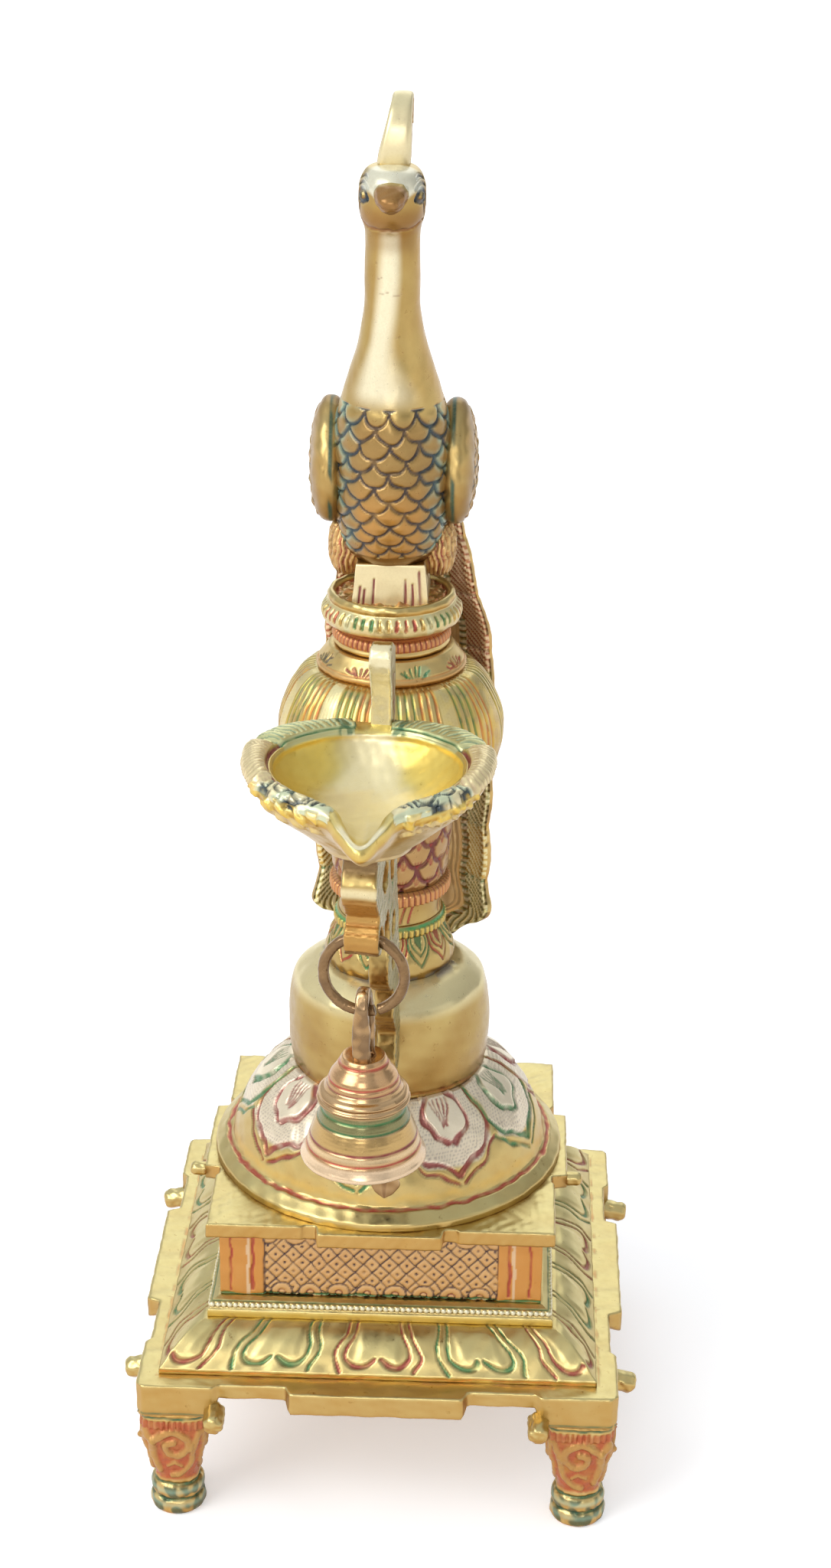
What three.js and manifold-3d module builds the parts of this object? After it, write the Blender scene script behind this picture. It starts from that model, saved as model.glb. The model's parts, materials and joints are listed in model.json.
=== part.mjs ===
// Peacock oil lamp in cast brass, in millimetres, with +Z up.
// A square footed base carries a lotus disc, a drum, a turned column and a ribbed pot.
// A peacock stands on the pot with its tail behind, and a bracket holds the oil bowl and a bell.
// The origin is the centre of the model's box, on the surface that the lamp stands on.

import * as THREE from 'three';
import { mergeVertices } from 'three/addons/utils/BufferGeometryUtils.js';
import Module from 'manifold-3d';

const wasm = await Module();
wasm.setup();

// Fits
const SEAT_GAP = 0.3;
const ROD_CLEARANCE = 0.4;
const SCREW_CLEARANCE = 0.3;
const OVERCUT = 1;

// Square pieces, each a step wider than the one above it
const BOX_HALF = 50.5;
const TOP_OVERHANG = 3.8;
const BEAD_STEP = 3.8;
const SLOPE_STEP = 1;
const SLOPE_RUN = 13;
const BASE_LEDGE = 6.7;

// Base plate, its corner blocks and pegs
const BASE_THICKNESS = 5;
const BASE_WEB = 3;
const BASE_RIM = 5;
const BLOCK_LENGTH = 24.6;
const BLOCK_HEIGHT = 11.3;
const CORNER_CHAMFER = 2.2;
const EDGE_RECESS = 1.7;
const BASE_TAB_HALF = 27;
const BASE_TAB_OUT = 2.3;
const TAB_SLANT = 2;
const APRON_DROP = 2.6;
const APRON_DEPTH = 4.5;
const PEG_RADIUS = 3.5;
const PEG_OUT = 6.5;
const PEG_TILT = THREE.MathUtils.degToRad(12);
const PEG_LIFT = 1.8;

// Legs and the screws that hold them
const LEG_HEIGHT = 39.7;
const LEG_INSET = 11.2;
const LEG_TOP_HALF = 10.8;
const LEG_WAIST_HALF = 7.4;
const LEG_FOOT_RADIUS = 8.7;
const LEG_GROOVE = 1.1;
const LEG_SCREW_INSET = 2.8;
const LEG_SCREW_RADIUS = 2.5;
const LEG_SCREW_LENGTH = 18;
const LEG_SCREW_HEAD_RADIUS = 4.2;
const LEG_SCREW_HEAD = 3.2;
const POCKET_DEPTH = 4.5;

// Petal slope, bead moulding and lattice box
const SLOPE_HEIGHT = 12.2;
const SLOPE_WALL = 3;
const BEAD_HEIGHT = 6;
const BOX_WALL = 3;
const BOX_HEIGHT = 23;
const PILASTER_WIDTH = 12.8;
const PANEL_RECESS = 0.7;
const PANEL_MARGIN = 1.2;

// Top plate
const TOP_THICKNESS = 5;
const TOP_TAB_HALF = 19.6;
const TOP_TAB_OUT = 4;
const TOP_BLOCK = 30;
const TOP_RECESS = 0.8;
const TOP_CHAMFER = 1.4;
const TOP_PEG_RADIUS = 2.4;
const TOP_PEG_OUT = 5;

// Lotus disc and drum
const DISC_RADIUS = 56.2;
const DISC_FLANGE = 2.3;
const DISC_GROOVE_RADIUS = 51.4;
const DOME_RADIUS = 50;
const DISC_HEIGHT = 32.2;
const SHELL_WALL = 3;
const DRUM_FOOT_RADIUS = 30.6;
const DRUM_BELLY_RADIUS = 32;
const DRUM_SHOULDER_RADIUS = 28.4;
const DRUM_SHOULDER = 31.6;
const DRUM_HEIGHT = 35.6;
const DRUM_TOP_WALL = 3.4;

// Column, from its lotus foot to the calyx under the pot
const FOOT_RADIUS = 20;
const FOOT_HEIGHT = 13.5;
const BEAD_RING_RADIUS = 17.2;
const BEAD_RING_HEIGHT = 4;
const WAIST_RADIUS = 15.9;
const WAIST_HEIGHT = 7;
const RIB_RING_RADIUS = 18.4;
const RIB_RING_HEIGHT = 4.6;
const CALYX_RADIUS = 16.6;
const CALYX_TOP_RADIUS = 20.5;
const CALYX_HEIGHT = 24.3;
const COLUMN_BORE = 11;

// Pot, its flange, the neck ring and the collar
const POT_RADIUS = 34.6;
const POT_FOOT_RADIUS = 20;
const POT_TOP_RADIUS = 24;
const POT_HEIGHT = 45.6;
const POT_WALL = 2.6;
const FLANGE_RADIUS = 22.8;
const FLANGE_EDGE = 2.5;
const FLANGE_HEIGHT = 7;
const NECK_RING_RADIUS = 17.3;
const NECK_RING_HEIGHT = 6;
const COLLAR_RADIUS = 21.2;
const COLLAR_RIM_RADIUS = 18.3;
const COLLAR_HEIGHT = 11;
const COLLAR_FLOOR = 8.4;
const COLLAR_LIP = 2;

// Foot block, peacock, wings and crest
const BLOCK_FOOT_HALF = 11.4;
const BLOCK_TOP_HALF = 10.2;
const FOOT_BLOCK_HEIGHT = 13.3;
const BREAST_HALF_WIDTH = 18;
const BREAST_HALF_DEPTH = 22.5;
const NECK_RADIUS = 7.9;
const HEAD_HALF_WIDTH = 9.4;
const HEAD_TOP_HALF = 7.4;
const BIRD_HEIGHT = 116.2;
const BEAK_LENGTH = 9.5;
const BEAK_DROP = 7;
const BEAK_RADIUS = 4.4;
const BEAK_TIP_RADIUS = 2.2;
const THIGH_HALF = 5;
const WING_THICKNESS = 6.5;
const WING_LENGTH = 17.5;
const WING_HEIGHT = 18;
const WING_TAPER = 0.3;
const WING_DROOP = THREE.MathUtils.degToRad(22);
const WING_OUT = 18.6;
const WING_BACK = 8.5;
const WING_LIFT = 26.2;
const CREST_HEIGHT = 19;
const CREST_BASE_WIDTH = 9.4;
const CREST_TOP_WIDTH = 6;
const CREST_LEAN = 2.7;
const CREST_BACK = 4;

// Tail, whose foot rests on a ledge round the drum's top
const TAIL_LEDGE = 4;
const TAIL_STAND_OFF = 12.4;
const TAIL_RISE = 37;
const TAIL_THICKNESS = 4;
const TAIL_HALF_WIDTH = 30;
const TAIL_TURN = THREE.MathUtils.degToRad(-8);
const TAIL_SCALLOP = 1.3;
const TAIL_LOBES = 9;

// Bracket, bowl, ring, bell and clapper
const BRACKET_YAW = THREE.MathUtils.degToRad(-7.5);
const BRACKET_SIDE = 1.8;
const BRACKET_FRONT_WIDTH = 10.3;
const BRACKET_BACK_WIDTH = 6.2;
const BRACKET_FOOT = 14.1;
const SADDLE_HEIGHT = 94.5;
const HOOK_FORWARD = 44.2;
const HOOK_HEIGHT = 65.1;
const HOOK_RADIUS = 5.4;
const HOOK_EYE_RADIUS = 3.3;
const ARM_SCREW_RADIUS = 1.5;
const ARM_SCREW_HEAD_RADIUS = 2.8;
const ARM_SCREW_HEAD = 1.8;
const ARM_SCREW_DEPTH = 4.2;
const BOWL_SIDE = -2.8;
const BOWL_FORWARD = 78;
const BOWL_DEPTH = 25.7;
const BOWL_HALF_WIDTH = 34.4;
const BASIN_RADIUS = 25.5;
const BASIN_DEPTH = 15;
const BOWL_BASE_RADIUS = 11;
const SPOUT_REACH = 43;
const SPOUT_DROP = 7.5;
const RING_RADIUS = 11.9;
const RING_WIRE = 1.6;
const RING_SPLIT = THREE.MathUtils.degToRad(6);
const LOOP_WIDTH = 5.2;
const LOOP_SLOT = 2.4;
const LOOP_WALL = 3;
const LOOP_ARCH = 7.4;
const LOOP_HEIGHT = 14.2;
const SHANK_RADIUS = 1.7;
const BELL_MOUTH_RADIUS = 18.6;
const BELL_BEAD_RADIUS = 13;
const BELL_CROWN_RADIUS = 6.5;
const BELL_HEIGHT = 33.3;
const BELL_CROWN_WALL = 2.6;
const BELL_WALL = 2;
const EYE_WIDTH = 1.8;
const EYE_RADIUS = 2.9;
const EYE_HOLE = 1.5;
const CLAPPER_LOOP_RADIUS = 2.6;
const CLAPPER_WIRE = 0.8;
const CLAPPER_LENGTH = 41.5;
const CLAPPER_SIDE = 6.4;
const CLAPPER_LEAF = 10;
const CLAPPER_LEAF_HALF = 4.5;
const CLAPPER_THICKNESS = 2.4;

// Tie rod with its washer and nut
const ROD_RADIUS = 3;
const ROD_INTO_BIRD = 14;
const ROD_END = 2;
const WASHER_RADIUS = 10;
const WASHER_THICKNESS = 1.5;
const NUT_RADIUS = 6.3;
const NUT_HEIGHT = 5.5;

// Half widths of the square pieces, and where the legs stand
const beadHalf = BOX_HALF + BEAD_STEP;
const slopeTopHalf = beadHalf + SLOPE_STEP;
const slopeFootHalf = slopeTopHalf + SLOPE_RUN;
const baseHalf = slopeFootHalf + BASE_LEDGE;
const topHalf = BOX_HALF + TOP_OVERHANG;
const legAt = baseHalf - LEG_INSET;
const legScrewAt = legAt - LEG_SCREW_INSET;

// Levels, each on top of the piece below it
const blockTop = LEG_HEIGHT + BLOCK_HEIGHT;
const slopeTop = blockTop + SLOPE_HEIGHT;
const beadTop = slopeTop + BEAD_HEIGHT;
const boxTop = beadTop + BOX_HEIGHT;
const plateTop = boxTop + TOP_THICKNESS;
const discTop = plateTop + DISC_HEIGHT;
const drumTop = discTop + DRUM_HEIGHT;
const footTop = drumTop + FOOT_HEIGHT;
const beadRingTop = footTop + BEAD_RING_HEIGHT;
const waistTop = beadRingTop + WAIST_HEIGHT;
const ribRingTop = waistTop + RIB_RING_HEIGHT;
const calyxTop = ribRingTop + CALYX_HEIGHT;
const potTop = calyxTop + POT_HEIGHT;
const flangeTop = potTop + FLANGE_HEIGHT;
const neckTop = flangeTop + NECK_RING_HEIGHT;
const collarFloor = neckTop + COLLAR_FLOOR;
const birdFoot = collarFloor + FOOT_BLOCK_HEIGHT;
const headTop = birdFoot + BIRD_HEIGHT;
const webFloor = blockTop - BASE_WEB;
const rodBore = ROD_RADIUS + ROD_CLEARANCE;

// Brass finishes
function brass(color, roughness) {
  return new THREE.MeshStandardMaterial({ color, roughness, metalness: 1 });
}

const paleBrass = brass(0xd9cd95, 0.38);
const goldBrass = brass(0xcdaa58, 0.36);
const basinBrass = brass(0xe0c650, 0.3);
const copperBrass = brass(0xb58a58, 0.34);
const paintedBrass = brass(0xc98a55, 0.45);
const steel = new THREE.MeshStandardMaterial({ color: 0x8f9092, roughness: 0.4, metalness: 1 });

// Solid helpers
function toSolid(geometry) {
  const bare = geometry.clone();
  bare.deleteAttribute('normal');
  bare.deleteAttribute('uv');
  const merged = mergeVertices(bare, 1e-4);
  const source = merged.index.array;
  const kept = [];
  for (let i = 0; i < source.length; i += 3) {
    const [a, b, c] = [source[i], source[i + 1], source[i + 2]];
    if (a !== b && b !== c && c !== a) kept.push(a, b, c);
  }
  return new wasm.Manifold(new wasm.Mesh({
    numProp: 3,
    vertProperties: new Float32Array(merged.attributes.position.array),
    triVerts: new Uint32Array(kept),
  }));
}

function toGeometry(solid) {
  const mesh = solid.getMesh();
  const geometry = new THREE.BufferGeometry();
  geometry.setAttribute('position', new THREE.BufferAttribute(mesh.vertProperties, 3));
  geometry.setIndex(new THREE.BufferAttribute(mesh.triVerts, 1));
  geometry.computeVertexNormals();
  return geometry;
}

function join(...geometries) {
  const solids = geometries.map(toSolid);
  return toGeometry(solids.reduce((whole, solid) => whole.add(solid)));
}

function cut(geometry, ...tools) {
  const whole = toSolid(geometry);
  return toGeometry(tools.map(toSolid).reduce((left, tool) => left.subtract(tool), whole));
}

// Shapes turned about the Z axis from [radius, height] points
function turned(profile, segments = 22) {
  const points = profile.map(([radius, height]) => new THREE.Vector2(radius, height));
  return new THREE.LatheGeometry(points, segments).rotateX(Math.PI / 2);
}

function closed(profile) {
  return [...profile, profile[0]];
}

// A square ring or frame with mitred corners, from [half width, height] points
function squareTurned(profile) {
  const points = closed(profile).map(([half, height]) => new THREE.Vector2(half * Math.SQRT2, height));
  return new THREE.LatheGeometry(points, 4, Math.PI / 4).rotateX(Math.PI / 2);
}

function rodTool(radius, low, high, x = 0, y = 0) {
  const tool = new THREE.CylinderGeometry(radius, radius, high - low, 12).rotateX(Math.PI / 2);
  return tool.translate(x, y, (low + high) / 2);
}

function block(width, depth, low, high, x = 0, y = 0) {
  return new THREE.BoxGeometry(width, depth, high - low).translate(x, y, (low + high) / 2);
}

// A closed skin over rings of points, each counterclockwise from above, with a fan at both ends
function loft(rings) {
  const count = rings[0].length;
  const centre = (ring) => ring.reduce((sum, p) => sum.add(p), new THREE.Vector3()).divideScalar(count);
  const points = [...rings.flat(), centre(rings[0]), centre(rings.at(-1))];
  const first = points.length - 2;
  const last = points.length - 1;
  const top = (rings.length - 1) * count;
  const index = [];
  for (let c = 0; c < count; c += 1) {
    const d = (c + 1) % count;
    index.push(first, d, c, last, top + c, top + d);
    for (let r = 0; r + 1 < rings.length; r += 1) {
      const [low, high] = [r * count, (r + 1) * count];
      index.push(low + c, low + d, high + d, low + c, high + d, high + c);
    }
  }
  const geometry = new THREE.BufferGeometry().setFromPoints(points);
  geometry.setIndex(index);
  geometry.computeVertexNormals();
  return geometry;
}

function ellipseRing(halfWidth, halfDepth, x, y, z, count = 20) {
  return Array.from({ length: count }, (_, i) => {
    const turn = (2 * Math.PI * i) / count;
    return new THREE.Vector3(x + halfWidth * Math.cos(turn), y + halfDepth * Math.sin(turn), z);
  });
}

// A ring between a circle at power 2 and a square at high power
function squareRing(half, power, x, y, z, count = 16) {
  const bend = (value) => Math.sign(value) * Math.abs(value) ** (2 / power);
  return Array.from({ length: count }, (_, i) => {
    const turn = (2 * Math.PI * (i + 0.5)) / count;
    return new THREE.Vector3(x + half * bend(Math.cos(turn)), y + half * bend(Math.sin(turn)), z);
  });
}

// A flat casting in the plane of forward distance and height, with its thickness along X
function upright(shape, thickness, curveSegments = 12) {
  const geometry = new THREE.ExtrudeGeometry(shape, {
    depth: thickness, bevelEnabled: false, curveSegments,
  });
  const frame = new THREE.Matrix4();
  frame.set(0, 0, -1, thickness / 2, -1, 0, 0, 0, 0, 1, 0, 0, 0, 0, 0, 1);
  return geometry.applyMatrix4(frame);
}

function reshape(geometry, move) {
  const place = geometry.attributes.position;
  const point = new THREE.Vector3();
  for (let i = 0; i < place.count; i += 1) {
    point.fromBufferAttribute(place, i);
    move(point);
    place.setXYZ(i, point.x, point.y, point.z);
  }
  return geometry;
}

function spline(points, count) {
  const curve = new THREE.CatmullRomCurve3(points.map(([u, v]) => new THREE.Vector3(u, v, 0)));
  return curve.getPoints(count).map((p) => new THREE.Vector2(p.x, p.y));
}

function circlePath(u, v, radius, sides = 16) {
  const path = new THREE.Path();
  path.absarc(u, v, radius, 0, 2 * Math.PI, true);
  return new THREE.Path(path.getPoints(sides / 2));
}

// Reads a table of [height, value, ...] rows at any height
function between(table, height, column) {
  const next = table.findIndex((row) => row[0] >= height);
  if (next <= 0) return table[next < 0 ? table.length - 1 : 0][column];
  const [low, high] = [table[next - 1], table[next]];
  return THREE.MathUtils.mapLinear(height, low[0], high[0], low[column], high[column]);
}

const lamp = new THREE.Group();

function piece(name, geometry, material, parent = lamp) {
  const mesh = new THREE.Mesh(geometry, material);
  mesh.name = name;
  parent.add(mesh);
  return mesh;
}

// Square plate outline with stepped corner blocks and a tab in the middle of each side
function plateOutline({ half, corner, recess, tabHalf, tabOut, chamfer }) {
  const inner = half - corner;
  const side = [
    [-half + chamfer, half], [-inner, half], [-inner + recess, half - recess],
    [-tabHalf - TAB_SLANT, half - recess], [-tabHalf, half + tabOut],
    [tabHalf, half + tabOut], [tabHalf + TAB_SLANT, half - recess],
    [inner - recess, half - recess], [inner, half], [half - chamfer, half],
  ];
  const corners = [0, 1, 2, 3].flatMap((quarter) => side.map(([along, out]) => (
    new THREE.Vector2(along, -out).rotateAround(new THREE.Vector2(), (quarter * Math.PI) / 2)
  )));
  return new THREE.Shape(corners);
}

// An octagonal peg that points out of one side of a plate and a little down
function peg(radius, out, edge, along, z, quarter, tilt) {
  const length = out + radius * 2;
  const stub = new THREE.CylinderGeometry(radius, radius, length, 8);
  stub.translate(0, length / 2 - radius * 2, 0).rotateX(Math.PI + tilt);
  return stub.translate(along, -edge, z).rotateZ((quarter * Math.PI) / 2);
}

function basePlate() {
  const outline = plateOutline({
    half: baseHalf, corner: BLOCK_LENGTH, recess: EDGE_RECESS,
    tabHalf: BASE_TAB_HALF, tabOut: BASE_TAB_OUT, chamfer: CORNER_CHAMFER,
  });
  const floor = blockTop - BASE_THICKNESS;
  const plate = new THREE.ExtrudeGeometry(outline, { depth: BASE_THICKNESS, bevelEnabled: false });
  const parts = [plate.translate(0, 0, floor)];
  const tools = [];
  const blockAt = baseHalf - BLOCK_LENGTH / 2;
  const pegAt = baseHalf - BLOCK_LENGTH;
  const blockOutline = new THREE.Shape([
    new THREE.Vector2(-BLOCK_LENGTH / 2, -BLOCK_LENGTH / 2),
    new THREE.Vector2(BLOCK_LENGTH / 2, -BLOCK_LENGTH / 2),
    new THREE.Vector2(BLOCK_LENGTH / 2, BLOCK_LENGTH / 2 - CORNER_CHAMFER),
    new THREE.Vector2(BLOCK_LENGTH / 2 - CORNER_CHAMFER, BLOCK_LENGTH / 2),
    new THREE.Vector2(-BLOCK_LENGTH / 2, BLOCK_LENGTH / 2),
  ]);
  for (let quarter = 0; quarter < 4; quarter += 1) {
    const turn = (quarter * Math.PI) / 2;
    const foot = new THREE.ExtrudeGeometry(blockOutline, { depth: BLOCK_HEIGHT - 1, bevelEnabled: false });
    parts.push(foot.translate(blockAt, blockAt, LEG_HEIGHT).rotateZ(turn));
    const apronAt = baseHalf + BASE_TAB_OUT - APRON_DEPTH / 2;
    const apron = block(2 * BASE_TAB_HALF, APRON_DEPTH, floor - APRON_DROP, blockTop - 1, 0, -apronAt);
    parts.push(apron.rotateZ(turn));
    for (const along of [-pegAt, pegAt]) {
      const height = LEG_HEIGHT + PEG_LIFT;
      parts.push(peg(PEG_RADIUS, PEG_OUT, baseHalf, along, height, quarter, PEG_TILT));
    }
    const at = new THREE.Vector2(legScrewAt, legScrewAt).rotateAround(new THREE.Vector2(), turn);
    const hole = LEG_SCREW_RADIUS + SCREW_CLEARANCE;
    const pocket = LEG_SCREW_HEAD_RADIUS + SCREW_CLEARANCE;
    tools.push(rodTool(hole, LEG_HEIGHT - OVERCUT, blockTop + OVERCUT, at.x, at.y));
    tools.push(rodTool(pocket, blockTop - POCKET_DEPTH, blockTop + OVERCUT, at.x, at.y));
  }
  const free = baseHalf - BLOCK_LENGTH - OVERCUT;
  const reach = baseHalf - BASE_RIM;
  tools.push(block(2 * free, 2 * reach, floor - APRON_DROP - OVERCUT, webFloor));
  tools.push(block(2 * reach, 2 * free, floor - APRON_DROP - OVERCUT, webFloor));
  tools.push(rodTool(rodBore, webFloor - OVERCUT, blockTop + OVERCUT));
  return cut(join(...parts), ...tools);
}

piece('base_plate', basePlate(), paleBrass);

// Legs, round at the foot and square at the top, with two turned grooves
function leg(x, y, inset) {
  const rows = [
    [0, LEG_FOOT_RADIUS - 0.7, 2], [1.2, LEG_FOOT_RADIUS, 2], [4.6, LEG_FOOT_RADIUS - 0.3, 2],
    [5.5, LEG_FOOT_RADIUS - LEG_GROOVE, 2], [6.4, LEG_FOOT_RADIUS - 0.4, 2],
    [9.8, LEG_FOOT_RADIUS - 0.6, 2], [10.8, LEG_WAIST_HALF - 0.4, 2.3], [15, LEG_WAIST_HALF, 3],
    [24, (LEG_WAIST_HALF + LEG_TOP_HALF) / 2, 3.6], [31, LEG_TOP_HALF - 0.3, 4],
    [LEG_HEIGHT, LEG_TOP_HALF, 5],
  ];
  const body = loft(rows.map(([z, half, power]) => squareRing(half, power, x, y, z)));
  const bore = rodTool(LEG_SCREW_RADIUS + SCREW_CLEARANCE,
    blockTop - POCKET_DEPTH - LEG_SCREW_LENGTH - OVERCUT, LEG_HEIGHT + OVERCUT, inset.x, inset.y);
  return cut(body, bore);
}

function legScrew() {
  return turned([
    [0, -LEG_SCREW_LENGTH], [LEG_SCREW_RADIUS, -LEG_SCREW_LENGTH], [LEG_SCREW_RADIUS, 0],
    [LEG_SCREW_HEAD_RADIUS, 0], [LEG_SCREW_HEAD_RADIUS, LEG_SCREW_HEAD], [0, LEG_SCREW_HEAD],
  ], 12);
}

const corners = { front_left: [-1, -1], front_right: [1, -1], back_left: [-1, 1], back_right: [1, 1] };
for (const [corner, [sideX, sideY]] of Object.entries(corners)) {
  const screwAt = new THREE.Vector2(sideX * legScrewAt, sideY * legScrewAt);
  piece(`leg_${corner}`, leg(sideX * legAt, sideY * legAt, screwAt), paintedBrass);
  const screw = piece(`leg_screw_${corner}`, legScrew(), steel);
  screw.position.set(screwAt.x, screwAt.y, blockTop - POCKET_DEPTH);
}

// Cushion-shaped slope that carries the engraved petals, a hollow shell
piece('petal_slope', squareTurned([
  [slopeFootHalf, 0], [slopeFootHalf, SLOPE_HEIGHT * 0.15],
  [slopeFootHalf - SLOPE_RUN * 0.12, SLOPE_HEIGHT * 0.28],
  [slopeFootHalf - SLOPE_RUN * 0.35, SLOPE_HEIGHT * 0.55],
  [slopeFootHalf - SLOPE_RUN * 0.66, SLOPE_HEIGHT * 0.82],
  [slopeTopHalf, SLOPE_HEIGHT], [slopeTopHalf - SLOPE_WALL, SLOPE_HEIGHT],
  [slopeTopHalf - SLOPE_WALL, SLOPE_HEIGHT - SLOPE_WALL],
  [slopeFootHalf - SLOPE_RUN * 0.5 - SLOPE_WALL, SLOPE_HEIGHT * 0.45],
  [slopeFootHalf - SLOPE_WALL, 0],
]), paleBrass).position.z = blockTop;

// Stepped moulding that holds the row of beads
const boxInside = BOX_HALF - BOX_WALL;
piece('bead_moulding', squareTurned([
  [beadHalf, 0], [beadHalf, BEAD_HEIGHT * 0.4], [beadHalf - 0.9, BEAD_HEIGHT * 0.5],
  [beadHalf - 0.9, BEAD_HEIGHT * 0.85], [BOX_HALF + 0.6, BEAD_HEIGHT], [boxInside, BEAD_HEIGHT],
  [boxInside, BEAD_HEIGHT - BOX_WALL], [slopeTopHalf - SLOPE_WALL - 1, 0],
]), paleBrass).position.z = slopeTop;

// Hollow box with a sunk panel between two pilasters on each side
function latticeBox() {
  const frame = squareTurned([
    [BOX_HALF, 0], [BOX_HALF, BOX_HEIGHT], [boxInside, BOX_HEIGHT], [boxInside, 0],
  ]);
  const width = 2 * (BOX_HALF - PILASTER_WIDTH);
  const panels = [0, 1, 2, 3].map((quarter) => block(
    width, 2 * PANEL_RECESS, PANEL_MARGIN, BOX_HEIGHT - PANEL_MARGIN, 0, -BOX_HALF,
  ).rotateZ((quarter * Math.PI) / 2));
  return cut(frame, ...panels);
}

piece('lattice_box', latticeBox(), paintedBrass).position.z = beadTop;

function topPlate() {
  const outline = plateOutline({
    half: topHalf, corner: TOP_BLOCK, recess: TOP_RECESS,
    tabHalf: TOP_TAB_HALF, tabOut: TOP_TAB_OUT, chamfer: TOP_CHAMFER,
  });
  const plate = new THREE.ExtrudeGeometry(outline, { depth: TOP_THICKNESS, bevelEnabled: false });
  const edge = topHalf + TOP_TAB_OUT;
  const pegAt = TOP_TAB_HALF - TOP_PEG_RADIUS;
  const pegs = [
    peg(TOP_PEG_RADIUS, TOP_PEG_OUT, edge, pegAt, TOP_THICKNESS / 2, 3, 0),
    peg(TOP_PEG_RADIUS, TOP_PEG_OUT, edge, -pegAt, TOP_THICKNESS / 2, 1, 0),
  ];
  return cut(join(plate, ...pegs), rodTool(rodBore, -OVERCUT, TOP_THICKNESS + OVERCUT));
}

piece('top_plate', topPlate(), paleBrass).position.z = boxTop;

// Domed lotus disc, a shell that is open at the top under the drum
const domeRise = DISC_HEIGHT - DISC_FLANGE;
piece('lotus_disc', turned(closed([
  [DISC_RADIUS, 0], [DISC_RADIUS, DISC_FLANGE], [DISC_GROOVE_RADIUS + 1, DISC_FLANGE + 3],
  [DISC_GROOVE_RADIUS - 0.6, DISC_FLANGE + 3.4], [DOME_RADIUS, DISC_FLANGE + 5.6],
  [DOME_RADIUS * 0.965, DISC_FLANGE + domeRise * 0.38], [DOME_RADIUS * 0.915, DISC_FLANGE + domeRise * 0.56],
  [DOME_RADIUS * 0.84, DISC_FLANGE + domeRise * 0.73], [DOME_RADIUS * 0.74, DISC_FLANGE + domeRise * 0.89],
  [DRUM_FOOT_RADIUS + 1.2, DISC_HEIGHT], [DRUM_FOOT_RADIUS - SHELL_WALL - 1, DISC_HEIGHT],
  [DRUM_FOOT_RADIUS - SHELL_WALL - 1, DISC_HEIGHT - SHELL_WALL],
  [DOME_RADIUS * 0.78, DISC_FLANGE + domeRise * 0.68], [DOME_RADIUS - SHELL_WALL - 0.6, DISC_FLANGE + 5],
  [DOME_RADIUS - SHELL_WALL, 0],
]), 28), paleBrass).position.z = plateTop;

// Bracket frame, on the drum's front face and turned a little aside
const bracketFrame = new THREE.Matrix4().makeRotationZ(BRACKET_YAW);
bracketFrame.setPosition(BRACKET_SIDE, -DRUM_BELLY_RADIUS, discTop + BRACKET_FOOT);
const armScrewHeights = [4.5, 11.5];
const drumInside = DRUM_FOOT_RADIUS - SHELL_WALL;
const headSide = BRACKET_SIDE + 2 * ARM_SCREW_HEAD_RADIUS;
const headSeat = Math.sqrt(drumInside ** 2 - headSide ** 2) - SEAT_GAP;
const armScrewLength = DRUM_BELLY_RADIUS - headSeat + ARM_SCREW_DEPTH;

// Drum, a bulging shell with a domed top
const drumLedge = DRUM_SHOULDER + (DRUM_HEIGHT - DRUM_SHOULDER) * 0.72;

function drumProfile() {
  const bore = rodBore;
  return closed([
    [DRUM_FOOT_RADIUS, 0], [DRUM_BELLY_RADIUS - 0.3, DRUM_SHOULDER * 0.22],
    [DRUM_BELLY_RADIUS, DRUM_SHOULDER * 0.5], [DRUM_BELLY_RADIUS - 0.5, DRUM_SHOULDER * 0.75],
    [DRUM_BELLY_RADIUS - 1.6, DRUM_SHOULDER * 0.92], [DRUM_SHOULDER_RADIUS, DRUM_SHOULDER],
    [FOOT_RADIUS + TAIL_LEDGE, drumLedge],
    [FOOT_RADIUS, DRUM_HEIGHT], [bore, DRUM_HEIGHT], [bore, DRUM_HEIGHT - DRUM_TOP_WALL],
    [FOOT_RADIUS, DRUM_HEIGHT - DRUM_TOP_WALL], [drumInside - 1.5, DRUM_SHOULDER - 1],
    [drumInside, DRUM_SHOULDER * 0.91], [drumInside, 0],
  ]);
}

function armScrewTool(radius, length, height) {
  const tool = new THREE.CylinderGeometry(radius, radius, length, 12);
  tool.translate(0, length / 2, height);
  return tool;
}

function drum() {
  const shell = turned(drumProfile(), 26).translate(0, 0, discTop);
  const reach = 2 * SHELL_WALL + OVERCUT;
  const holes = armScrewHeights.map((height) => (
    armScrewTool(ARM_SCREW_RADIUS + SCREW_CLEARANCE, reach, height).translate(0, -OVERCUT, 0)
      .applyMatrix4(bracketFrame)
  ));
  return cut(shell, ...holes);
}

piece('drum', drum(), goldBrass);

// Turned column pieces, hollow so that the tie rod runs free inside
piece('column_foot', turned(closed([
  [FOOT_RADIUS - 0.4, 0], [FOOT_RADIUS + 0.5, FOOT_HEIGHT * 0.22], [FOOT_RADIUS - 0.4, FOOT_HEIGHT * 0.5],
  [FOOT_RADIUS - 2.6, FOOT_HEIGHT * 0.85], [BEAD_RING_RADIUS - 0.8, FOOT_HEIGHT],
  [COLUMN_BORE, FOOT_HEIGHT], [COLUMN_BORE, 0],
])), goldBrass).position.z = drumTop;

function bandRing(radius, height) {
  return turned(closed([
    [radius - 0.7, 0], [radius, height * 0.3], [radius, height * 0.7], [radius - 0.7, height],
    [COLUMN_BORE, height], [COLUMN_BORE, 0],
  ]));
}

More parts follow.
